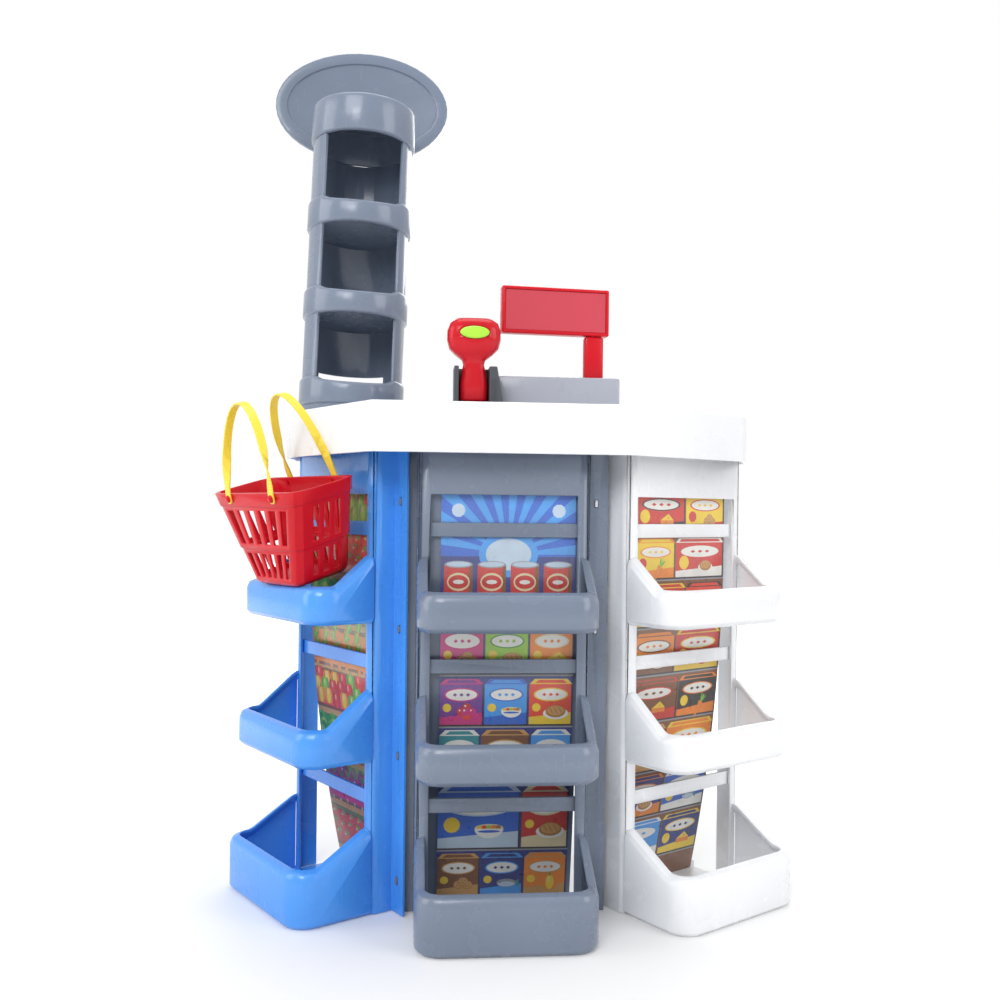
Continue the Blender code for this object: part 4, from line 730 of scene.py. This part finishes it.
def offer_card():
    """The middle card: a plain blue sheet over tins, small cartons and a large box."""
    sheet = Sheet("navy")
    sheet.block(-CARD_HALF, 316.0, CARD_HALF, CARD_HIGH, "blue")
    sun, reach, step = 318.0, 150, 16.4
    for k in range(11):
        left = math.radians(step * k)
        right = math.radians(step * k + step / 2)
        sheet.shape([(0.0, sun), (reach * math.cos(left), sun + reach * math.sin(left)),
                     (reach * math.cos(right), sun + reach * math.sin(right))], "sky")
    sheet.disc(0.0, sun, 26.0, 20.0, "sky", 24)
    sheet.disc(0.0, sun, 20.0, 14.0, "pale", 24)
    for x in (-44.0, 44.0):
        sheet.disc(x, 356.0, 6.0, 6.0, "pale", 10)
    board(sheet, 268.0)
    for k, motif in enumerate(("tomato", "pepper", "berries", "tomato")):
        tin(sheet, -43.5 + 29.0 * k, 269.0, 25.0, 40.0, "red", motif)
    rows = (
        (214.0, 38.0, ((1, "magenta", "white", "biscuits"), (1, "lime", "green", "pie"),
                       (1, "orange", "cream", "cheese"))),
        (168.0, 36.0, ((1, "purple", "magenta", "berries"), (1, "sky", "blue", "bowl"),
                       (1, "tomato", "yellow", "pie"))),
        (118.0, 40.0, ((1, "teal", "white", "fish"), (1.2, "brown", "tan", "biscuits"),
                       (1, "sky", "white", "cheese"))),
        (54.0, 52.0, ((2.1, "blue", "pale", "bowl"), (1.2, "red", "cream", "pie"))),
        (8.0, 36.0, ((1, "brown", "tan", "biscuits"), (1, "navy", "sky", "fish"),
                     (1, "orange", "tan", "pepper"))),
    )
    for row in rows:
        row_of(sheet, *row)
    return sheet


def frozen_card():
    """The right card: red, yellow and orange cartons, with blue ones at the foot."""
    sheet = Sheet("brown")
    rows = (
        (382.0, 34.0, ((1, "red", "yellow", "pie"), (1, "orange", "red", "carrot"))),
        (338.0, 34.0, ((1.2, "red", "black", "cheese"), (1, "yellow", "red", "biscuits"))),
        (296.0, 32.0, ((1, "yellow", "orange", "carrot"), (1.3, "red", "white", "pie"))),
        (252.0, 34.0, ((1.3, "red", "yellow", "berries"), (1, "tomato", "black", "bowl"))),
        (208.0, 34.0, ((1, "orange", "brown", "pie"), (1.1, "red", "yellow", "tomato"))),
        (164.0, 34.0, ((1.2, "brown", "red", "cheese"), (1, "black", "orange", "carrot"))),
        (116.0, 38.0, ((1, "red", "tan", "pie"), (1.2, "orange", "yellow", "bowl"))),
        (72.0, 34.0, ((1, "navy", "orange", "pie"), (1, "blue", "white", "fish"))),
        (28.0, 34.0, ((1.2, "sky", "white", "fish"), (1, "navy", "yellow", "cheese"))),
    )
    for row in rows:
        row_of(sheet, *row)
    return sheet


def garden_card():
    """The left card: bands of vegetables in open crates."""
    sheet = Sheet("green")
    chance = random.Random(7)
    bands = (
        (382.0, "leaf", "lettuce", 13.0), (336.0, "lime", "pepper", 10.0),
        (290.0, "tomato", "tomato", 11.0), (244.0, "leaf", "lettuce", 13.0),
        (200.0, "orange", "carrot", 13.0), (158.0, "tomato", "pepper", 10.0),
        (112.0, "leaf", "lettuce", 13.0), (66.0, "magenta", "radish", 9.0), (18.0, "red", "tomato", 10.0),
    )
    for low, ground, kind, size in bands:
        sheet.block(-CARD_HALF, low, CARD_HALF, low + 44.0, "brown")
        sheet.block(-CARD_HALF, low + 8.0, CARD_HALF, low + 40.0, ground)
        for layer in range(3):
            x = -CARD_HALF + (4.0 if layer % 2 else 9.0)
            while x < CARD_HALF:
                z = low + 36.0 - layer * 10.0 + chance.uniform(-1.5, 1.5)
                if kind == "carrot":
                    carrot(Spot(sheet, x, z + 4, size), chance.uniform(-0.5, 0.7))
                elif kind == "pepper":
                    pepper(Spot(sheet, x, z, size), chance.choice(("yellow", "tomato", "lime")))
                else:
                    MOTIFS[kind](Spot(sheet, x, z, size * chance.uniform(0.85, 1.1)))
                x += size * 1.55
        sheet.block(-CARD_HALF, low - 2.0, CARD_HALF, low + 5.0, "tan")
        sheet.block(-CARD_HALF, low - 2.0, CARD_HALF, low - 0.8, "brown")
    return sheet


# Settings

def colour_property(name, description, default):
    """A colour that a user can set."""
    return FloatVectorProperty(name=name, description=description, subtype="COLOR", size=3, min=0.0, max=1.0,
                               default=default)


def length_property(name, description, default):
    """A length in metres that a user can set."""
    return FloatProperty(name=name, description=description, default=default, unit="LENGTH")


class StoreColours(bpy.types.PropertyGroup):
    """Colours of the store's plastics."""
    sky_blue: colour_property("Sky blue", "Left bay", (0.075, 0.33, 0.90))
    grey: colour_property("Grey", "Middle bay, tower and sign", (0.175, 0.215, 0.29))
    white: colour_property("White", "Right bay, counter and number keys", (0.86, 0.875, 0.90))
    light_grey: colour_property("Light grey", "Register cover and cash drawer", (0.36, 0.38, 0.44))
    dark: colour_property("Dark grey", "Register base and scanner holder", (0.045, 0.05, 0.06))
    red: colour_property("Red", "Basket, scanner and display", (0.60, 0.006, 0.016))
    pale_red: colour_property("Display red", "Face of the customer display", (0.56, 0.055, 0.08))
    yellow: colour_property("Yellow", "Basket handles and function keys", (0.88, 0.68, 0.06))
    lime: colour_property("Lime", "Scanner button", (0.46, 0.85, 0.06))
    steel: colour_property("Zinc", "Screws and battery cells", (0.62, 0.62, 0.64))
    card: colour_property("Card", "Unprinted back of the cards", (0.78, 0.79, 0.80))


class StoreSizes(bpy.types.PropertyGroup):
    """Sizes of what the scene adds to the CAD solids."""
    bay_edge: length_property("Bay edge", "Edge radius of the bays", 0.0007)
    fine_edge: length_property("Fine edge", "Edge radius of small mouldings", 0.0004)
    film: length_property("Print film", "Height of the printed film over its card", 0.00005)
    film_bend: length_property("Film strip", "Height of the strips that bend with the card", 0.012)
    digit_height: length_property("Digit height", "Height of the digits on the keys", 0.0066)


class StoreStage(bpy.types.PropertyGroup):
    """The camera, the floor and the lamps."""
    eye: FloatVectorProperty(name="Eye", description="Where the camera stands", size=3, subtype="TRANSLATION",
                             unit="LENGTH", default=(-0.08924, -0.95975, 0.3557))
    lens: FloatProperty(name="Lens", description="Focal length on a 36 mm sensor, in mm", default=37.44)
    yaw: FloatProperty(name="Turn", description="Camera's turn to its right", default=math.radians(5.1),
                       unit="ROTATION")
    roll: FloatProperty(name="Roll", description="Camera's roll", default=0.011, unit="ROTATION")
    shift: FloatProperty(name="Shift", description="Vertical shift of the frame", default=0.011)
    floor: length_property("Floor", "Half the floor's side", 6.0)
    daylight: FloatProperty(name="Daylight", description="Strength of the even light all round", default=0.48)


# Stage

# Each lamp's name, place, aim, size and power
LAMPS = (
    ("front_lamp", (-0.9, -1.9, 1.7), (0.0, 0.0, 0.4), (1.4, 1.0), 20.0),
    ("right_lamp", (1.7, -1.1, 1.1), (0.0, 0.0, 0.35), (1.0, 1.4), 13.0),
    ("top_lamp", (0.0, 0.1, 2.2), (0.0, 0.0, 0.3), (1.6, 1.2), 14.0),
    ("back_lamp", (0.4, 1.8, 1.4), (0.0, 0.0, 0.4), (1.6, 1.0), 12.0),
    ("left_lamp", (-1.9, -0.3, 1.0), (-0.1, 0.0, 0.5), (1.0, 1.4), 12.0),
    ("tower_lamp", (-0.5, -1.3, 1.05), (-0.15, 0.02, 0.68), (0.4, 0.4), 2.6),
)
FLOOR_GREY = (0.82, 0.82, 0.82)

# The floor's glow, as the camera sees it: where it starts and is full, and how strong it is at the store
GLOW_START = 0.35
GLOW_FULL = 1.6
GLOW_LEAST = 0.10


def lamp(name, place, aim, size, power):
    """A rectangular studio lamp aimed at a point."""
    light = bpy.data.lights.new(name, "AREA")
    light.shape = "RECTANGLE"
    light.size, light.size_y = size
    light.energy = power
    holder = bpy.data.objects.new(name, light)
    turn = (Vector(aim) - Vector(place)).to_track_quat("-Z", "Y")
    holder.matrix_world = Matrix.Translation(place) @ turn.to_matrix().to_4x4()
    bpy.context.scene.collection.objects.link(holder)


def seen_directly(nodes, links):
    """One where a ray comes from the camera, a mirror or glass, else nought."""
    path = nodes.new("ShaderNodeLightPath")
    total = path.outputs["Is Camera Ray"]
    for name in ("Is Glossy Ray", "Is Transmission Ray"):
        add = nodes.new("ShaderNodeMath")
        add.operation = "MAXIMUM"
        links.new(total, add.inputs[0])
        links.new(path.outputs[name], add.inputs[1])
        total = add.outputs["Value"]
    return total


class STORE_OT_stage(bpy.types.Operator):
    """Floor, lamps, even light and camera"""
    bl_idname = "toystore.stage"
    bl_label = "Stage"

    def execute(self, context):
        settings = context.scene.toystore_stage
        self.floor(settings)
        self.sky(context, settings)
        for values in LAMPS:
            lamp(*values)
        self.camera(context, settings)
        context.scene.view_settings.view_transform = "Standard"
        return {"FINISHED"}

    def floor(self, settings):
        """Pale paper that the camera sees turn white away from the store."""
        side = settings.floor
        bm = bmesh.new()
        plan = ((-side, -side), (side, -side), (side, side), (-side, side))
        bm.faces.new([bm.verts.new((x, y, 0.0)) for x, y in plan])
        paper = Surface("floor_paper", FLOOR_GREY, 0.55)
        paper.shader.inputs["Emission Color"].default_value = WHITE
        far = paper.add("ShaderNodeVectorMath", operation="LENGTH")
        paper.links.new(paper.place, far.inputs[0])
        glow = paper.span(far.outputs["Value"], GLOW_START, GLOW_FULL, GLOW_LEAST, 1.0)
        strength = paper.maths("MULTIPLY", seen_directly(paper.nodes, paper.links), glow)
        paper.links.new(strength, paper.shader.inputs["Emission Strength"])
        fibre = paper.add("ShaderNodeTexNoise")
        fibre.inputs["Scale"].default_value = 30.0
        paper.bump(fibre.outputs["Fac"], 0.0004, 0.3)
        add_piece("floor", mesh_from("floor", bm), paper.finish())

    def sky(self, context, settings):
        """Even light all round, which the camera sees as white."""
        world = bpy.data.worlds.new("studio")
        world.use_nodes = True
        nodes = world.node_tree.nodes
        links = world.node_tree.links
        strength = nodes.new("ShaderNodeMapRange")
        set_inputs(strength, {"To Min": settings.daylight, "To Max": 1.0})
        links.new(seen_directly(nodes, links), strength.inputs["Value"])
        background = nodes["Background"]
        background.inputs["Color"].default_value = WHITE
        links.new(strength.outputs["Result"], background.inputs["Strength"])
        context.scene.world = world

    def camera(self, context, settings):
        """The camera, level apart from its roll."""
        camera = bpy.data.cameras.new("camera")
        camera.sensor_width = 36.0
        camera.lens = settings.lens
        camera.shift_y = settings.shift
        holder = bpy.data.objects.new("camera", camera)
        turn = Matrix.Rotation(-settings.yaw, 4, "Z") @ Matrix.Rotation(math.radians(90), 4, "X")
        holder.matrix_world = Matrix.Translation(settings.eye) @ turn @ Matrix.Rotation(settings.roll, 4, "Z")
        context.scene.collection.objects.link(holder)
        context.scene.camera = holder


# Bays and counter

# Strips of the grey bay's wall: their left and right edges, ends, depth behind the card's face and thickness
MARGIN_EDGES = ((-0.0668, -0.0545), (0.0625, 0.0668))
MARGIN_LOW = 0.006
MARGIN_HIGH = 0.3720
MARGIN_BEHIND = 0.0010
MARGIN_THICK = 0.0012
MARGIN_STEPS = 24


class STORE_OT_bays(bpy.types.Operator):
    """The three stepped bays"""
    bl_idname = "toystore.bays"
    bl_label = "Bays"

    def execute(self, context):
        colours = context.scene.toystore_colours
        edge = context.scene.toystore_sizes.bay_edge
        skin("blue_bay", moulded("sky_blue_plastic", colours.sky_blue), edge)
        grey = moulded("mid_grey_plastic", colours.grey)
        skin("grey_bay", grey, edge)
        with_node(add_piece("grey_margins", mesh_from("grey_margins", self.margins()), grey), "grey_bay")
        skin("white_bay", moulded("white_plastic", colours.white), edge)
        return {"FINISHED"}

    def margins(self):
        """Strips of the grey bay's wall that close the gaps beside its card and follow its curve."""
        bm = bmesh.new()
        for left, right in MARGIN_EDGES:
            rings = []
            for step in range(MARGIN_STEPS + 1):
                height = MARGIN_LOW + (MARGIN_HIGH - MARGIN_LOW) * step / MARGIN_STEPS
                front = -card_front(height) + MARGIN_BEHIND
                back = front + MARGIN_THICK
                rings.append([bm.verts.new((x, y, height)) for x, y in (
                    (left, front), (right, front), (right, back), (left, back))])
            join_rings(bm, rings)
        bm.transform(bay_matrix("grey"))
        return bm


class STORE_OT_counter(bpy.types.Operator):
    """The counter top and the screws that hold it"""
    bl_idname = "toystore.counter"
    bl_label = "Counter"

    def execute(self, context):
        colours = context.scene.toystore_colours
        edge = context.scene.toystore_sizes.bay_edge
        skin("counter_top", moulded("counter_plastic", colours.white, 0.3), edge, 3)
        zinc = plated("screw_zinc", colours.steel)
        heads = []
        for node in NODES:
            if node.startswith("screw_"):
                dress(node, zinc)
                points = corners(node)
                head = middle_of(points)
                head.z = max(point.z for point in points)
                heads.append(Matrix.Translation(head))
        # Dark crosses on the screw heads: painted shade of the cross recesses, which are not cut in the heads
        recess = grained("recess_shadow", (0.02, 0.02, 0.022), 0.6, 0.00003)
        with_node(crosses("screw_crosses", heads, 0.0038, 0.0009, recess), "screw_grey_left")
        return {"FINISHED"}


# The bands round the tower: its radius, each shelf's rise, and a band's section, as the distance out from
# the wall, the rise, and whether the point belongs to the upper edge
TOWER_RADIUS = 0.048
SHELF_RISE = 0.086
BAND_SECTION = ((-0.0006, 0.0, False), (0.0014, 0.0006, False), (0.0022, 0.0020, False),
                (0.0022, -0.0034, True), (0.0019, -0.0016, True), (0.0011, -0.0003, True),
                (0.0, 0.0002, True), (-0.0006, 0.0, True))
BAND_REACH = 128
BAND_STEP = 2
WINDOW_REACH = 50


class STORE_OT_tower(bpy.types.Operator):
    """The shelf tower, its cap and the oval sign"""
    bl_idname = "toystore.tower"
    bl_label = "Tower"

    def execute(self, context):
        colours = context.scene.toystore_colours
        sizes = context.scene.toystore_sizes
        plastic = moulded("tower_plastic", colours.grey, 0.24)
        skin("tower_column", plastic, sizes.fine_edge)
        skin("tower_cap", plastic, sizes.bay_edge, 3)
        skin("tower_sign", plastic, sizes.fine_edge)
        bm = bmesh.new()
        for level in range(3):
            self.band(bm, level * SHELF_RISE + 0.004, level * SHELF_RISE + 0.031, 0.007)
        self.band(bm, 0.2632, 0.2986, 0.0)
        bm.transform(Matrix.Translation(TOWER_FOOT) @ TOWER_LEAN.to_matrix().to_4x4())
        with_node(add_piece("tower_bands", mesh_from("tower_bands", bm, 50), plastic), "tower_column")
        return {"FINISHED"}

    def band(self, bm, low, top, dip):
        """A rounded band round the tower's front and sides; its top edge dips in the window."""
        rings = []
        for degrees in range(-BAND_REACH, BAND_REACH + 1, BAND_STEP):
            angle = math.radians(degrees)
            fall = 0.0
            if abs(degrees) < WINDOW_REACH:
                fall = dip * math.cos(math.radians(abs(degrees) * 90 / WINDOW_REACH)) ** 0.5
            ring = []
            for out, rise, upper in BAND_SECTION:
                radius = TOWER_RADIUS + out
                height = (top - fall if upper else low) + rise
                ring.append(bm.verts.new((radius * math.sin(angle), -radius * math.cos(angle), height)))
            rings.append(ring)
        join_rings(bm, rings)


# Each ring of speaker holes and how many it has; the keys in their order; and the bars on the two yellow
# keys, in millimetres: left, low, wide, tall
SPEAKER_RINGS = ((0, 1), (1, 6), (2, 12), (3, 18))
RING_PITCH = 0.0030
KEY_ORDER = ("7", "8", "9", "4", "5", "6", "1", "2", "3", "0", "scan", "open")
KEY_BARS = {
    "scan": [(-3.0 + 1.6 * k, -2.4, 0.5 + 0.4 * (k % 2), 4.8) for k in range(4)],
    "open": [(-3.2, -2.2, 6.4, 1.2), (-2.0, -0.2, 4.0, 1.0), (-0.9, 1.5, 1.8, 0.9)],
}
MARK_HALF_THICK = 0.04
TYPE_SIZE = 1.35


class STORE_OT_register(bpy.types.Operator):
    """The register with its keys, drawer and customer display"""
    bl_idname = "toystore.register"
    bl_label = "Register"

    def execute(self, context):
        colours = context.scene.toystore_colours
        fine = context.scene.toystore_sizes.fine_edge
        cover = moulded("cover_plastic", colours.light_grey, 0.3)
        dark = grained("base_plastic", colours.dark)
        red = moulded("display_plastic", colours.red, 0.3, 0.06, gloss=0.2)
        for node, plastic in (("register_cover", cover), ("cash_drawer", cover), ("register_base", dark),
                              ("battery_door", dark), ("display_frame", red), ("display_post", red)):
            skin(node, plastic, fine)
        skin("display_panel", moulded("display_face", colours.pale_red, 0.36, 0.1), fine)
        keys = moulded("key_plastic", colours.white, 0.32)
        special = moulded("key_yellow_plastic", colours.yellow, 0.32)
        for node in NODES:
            if node.startswith("key_"):
                skin(node, special if node in ("key_scan", "key_open") else keys, fine, 3)
        # One dark material for the printed marks on the keys and for the painted shade of the speaker holes
        ink = grained("mark_ink_and_hole_shade", (0.03, 0.032, 0.04), 0.5, 0.00002)
        self.speaker_holes(ink)
        self.marks(ink, context.scene.toystore_sizes.digit_height)
        zinc = plated("cell_zinc", colours.steel)
        for node in ("register_speaker", "battery_cell_1", "battery_cell_2"):
            dress(node, zinc)
        dress("register_board", grained("board_resist", (0.02, 0.15, 0.055), 0.4, 0.00005))
        return {"FINISHED"}

    def speaker_holes(self, ink):
        """Rings of dark spots on the cover, over the speaker: painted shade in place of the grille's holes.
        """
        holes = []
        x, y = SPEAKER_PLACE
        for ring, count in SPEAKER_RINGS:
            for i in range(count):
                angle = 2 * math.pi * i / count
                out = RING_PITCH * ring
                spot = Vector((x + out * math.cos(angle), y + out * math.sin(angle), REGISTER_TOP))
                holes.append(Matrix.Translation(REGISTER_FOOT + spot))
        with_node(discs("speaker_holes", holes, 0.0007, 0.0002, ink), "register_cover")

    def marks(self, ink, height):
        """Digits on the number keys and plain bars on the yellow ones."""
        keypad = Matrix.Translation(REGISTER_FOOT + Vector((0.0, KEYPAD_FRONT, REGISTER_TOP)))
        keypad = keypad @ Matrix.Rotation(-KEY_SLOPE, 4, "X")
        for i, name in enumerate(KEY_ORDER):
            x = MIDDLE_COLUMN + (i % 3 - 1) * KEY_COLUMN
            place = Matrix.Translation((x, FIRST_ROW + i // 3 * KEY_ROW, KEY_FACE))
            mesh = self.drawn(KEY_BARS[name]) if name in KEY_BARS else self.digit(name, height)
            mesh.transform(keypad @ place @ Matrix.Rotation(math.pi, 4, "Z"))
            with_node(add_piece(f"mark_{name}", mesh, ink), f"key_{name}")

    def digit(self, figure, height):
        """A digit as a flat mesh, its middle at the origin."""
        curve = bpy.data.curves.new(f"digit_{figure}", "FONT")
        curve.body = figure
        curve.size = height * TYPE_SIZE
        curve.align_x = "CENTER"
        curve.align_y = "CENTER"
        curve.extrude = MARK_HALF_THICK / 1000
        holder = bpy.data.objects.new(f"digit_{figure}", curve)
        bpy.context.scene.collection.objects.link(holder)
        mesh = bpy.data.meshes.new_from_object(holder.evaluated_get(bpy.context.evaluated_depsgraph_get()))
        bpy.data.objects.remove(holder)
        return mesh

    def drawn(self, blocks):
        """Flat bars, in millimetres: left, low, wide, tall."""
        bm = bmesh.new()
        for left, low, wide, tall in blocks:
            add_block(bm, Vector((left, low, -MARK_HALF_THICK)) / 1000,
                      Vector((left + wide, low + tall, MARK_HALF_THICK)) / 1000)
        return mesh_from("bars", bm)


# The scanner's holder in its own frame: its plan in millimetres, its height, the floor of its socket, its
# slanting cheek and the ribs in front of that cheek
HOLDER_PLAN = ((-17.6, -12), (-13.6, -12), (-13.4, -8), (-13.4, 9.2), (13.4, 9.2), (13.4, -8), (13.6, -12),
               (26.8, -12), (26.8, 12), (-17.6, 12))
HOLDER_HEIGHT = 0.0357
SOCKET_LOW = Vector((-0.0138, -0.0116, 0.0))
SOCKET_HIGH = Vector((0.0138, 0.0096, 0.0045))
CHEEK_FROM = 0.0260
CHEEK_SLANT = 0.0065
RIB_PLACES = ((0.0155, -0.0120, 0.0140), (0.0175, -0.0120, 0.0140), (0.0195, -0.0120, 0.0140))
RIB_SIZE = (0.0008, 0.0010, 0.022)


class STORE_OT_scanner(bpy.types.Operator):
    """The hand scanner and its holder"""
    bl_idname = "toystore.scanner"
    bl_label = "Scanner"

    def execute(self, context):
        colours = context.scene.toystore_colours
        fine = context.scene.toystore_sizes.fine_edge
        red = moulded("scanner_plastic", colours.red, 0.22, 0.1, gloss=0.22)
        skin("scanner_front_shell", red, fine, 2, 55, 62)
        skin("scanner_back_shell", red, fine, 2, 55, 62)
        skin("scanner_button", moulded("lime_plastic", colours.lime, 0.28), fine)
        skin("scanner_trigger", grained("trigger_plastic", colours.dark), fine)
        holder = grained("cradle_plastic", colours.dark, 0.42)
        skin("scanner_cradle", holder, 2 * fine, 3, bm=self.holder())
        ribs = [Matrix.Translation(SCANNER_FOOT + Vector(place)) for place in RIB_PLACES]
        with_node(bars("holder_ribs", ribs, RIB_SIZE, holder), "scanner_cradle")
        dress("scanner_window", smoked("smoked_window", (0.03, 0.012, 0.016)))
        return {"FINISHED"}

    def holder(self):
        """The holder as a socket open to the front, its right cheek cut slanting."""
        bm = bmesh.new()
        base = bm.faces.new([bm.verts.new(SCANNER_FOOT + Vector((x, y, 0.0)) / 1000) for x, y in HOLDER_PLAN])
        grown = bmesh.ops.extrude_face_region(bm, geom=[base])
        for vert in (item for item in grown["geom"] if isinstance(item, bmesh.types.BMVert)):
            slant = CHEEK_SLANT if vert.co.x > SCANNER_FOOT.x + CHEEK_FROM else 0.0
            vert.co += Vector((-slant, 0.0, HOLDER_HEIGHT))
        add_block(bm, SCANNER_FOOT + SOCKET_LOW, SCANNER_FOOT + SOCKET_HIGH)
        return bm


class STORE_OT_basket(bpy.types.Operator):
    """The shopping basket with its two strap handles"""
    bl_idname = "toystore.basket"
    bl_label = "Basket"

    def execute(self, context):
        colours = context.scene.toystore_colours
        fine = context.scene.toystore_sizes.fine_edge
        red = moulded("basket_plastic", colours.red, 0.33, 0.04, gloss=0.18)
        strap = moulded("strap_plastic", colours.yellow, 0.36, 0.1, gloss=0.28)
        skin("basket_tub", red, fine)
        skin("basket_handle_front", strap, fine)
        skin("basket_handle_rear", strap, fine)
        heads = []
        tilt = Matrix.Rotation(BAY_PLACES["blue"][1], 3, "Z") @ BASKET_TILT.to_matrix()
        rearwards = tilt @ Vector((0.0, 1.0, 0.0))
        centre = middle_of(corners("basket_tub"))
        for number in range(1, 5):
            node = f"basket_rivet_{number}"
            dress(node, red)
            points = corners(node)
            side = 1 if (middle_of(points) - centre).dot(rearwards) > 0 else -1
            out = tilt @ Vector((0.0, side, 0.0))
            far = max(point.dot(out) for point in points)
            rim = [point for point in points if point.dot(out) > far - 0.00005]
            turn = tilt @ Matrix.Rotation(-side * math.radians(90), 3, "X")
            heads.append(Matrix.Translation(middle_of(rim)) @ turn.to_4x4())
        with_node(domes("rivet_domes", heads, 0.0024, 0.0007, red), "basket_rivet_1")
        return {"FINISHED"}


class STORE_OT_cards(bpy.types.Operator):
    """The printed cards behind the rails"""
    bl_idname = "toystore.cards"
    bl_label = "Cards"

    def execute(self, context):
        colours = context.scene.toystore_colours
        back = sheet_back("card_back", colours.card)
        sizes = context.scene.toystore_sizes
        ink = printed("printed_film")
        for bay, sheet in (("blue", garden_card()), ("grey", offer_card()), ("white", frozen_card())):
            node = bay + "_card"
            dress(node, back)
            mesh = sheet.mesh(bay + "_print", bay, sizes.film, sizes.film_bend)
            with_node(add_piece(bay + "_print", mesh, ink), node)
        return {"FINISHED"}


class STORE_PT_panel(bpy.types.Panel):
    """Lists the store's operators and settings"""
    bl_idname = "STORE_PT_panel"
    bl_label = "Toy Store"
    bl_space_type = "VIEW_3D"
    bl_region_type = "UI"
    bl_category = "Toy Store"

    def draw(self, context):
        layout = self.layout
        scene = context.scene
        for group in (scene.toystore_sizes, scene.toystore_colours, scene.toystore_stage):
            column = layout.column()
            for name in group.__annotations__:
                column.prop(group, name)
        for operator in OPERATORS:
            layout.operator(operator.bl_idname)


GROUPS = (StoreColours, StoreSizes, StoreStage)
OPERATORS = (STORE_OT_stage, STORE_OT_bays, STORE_OT_cards, STORE_OT_counter, STORE_OT_tower,
             STORE_OT_register, STORE_OT_scanner, STORE_OT_basket)


def register():
    """Registers the settings, the operators and the panel."""
    for group in GROUPS + OPERATORS + (STORE_PT_panel,):
        bpy.utils.register_class(group)
    bpy.types.Scene.toystore_colours = PointerProperty(type=StoreColours)
    bpy.types.Scene.toystore_sizes = PointerProperty(type=StoreSizes)
    bpy.types.Scene.toystore_stage = PointerProperty(type=StoreStage)


def unregister():
    """Takes back what register did."""
    del bpy.types.Scene.toystore_stage
    del bpy.types.Scene.toystore_sizes
    del bpy.types.Scene.toystore_colours
    for group in reversed(GROUPS + OPERATORS + (STORE_PT_panel,)):
        bpy.utils.unregister_class(group)


def main():
    """Builds every piece in order."""
    register()
    for operator in OPERATORS:
        family, name = operator.bl_idname.split(".")
        getattr(getattr(bpy.ops, family), name)()


if __name__ == "__main__":
    main()
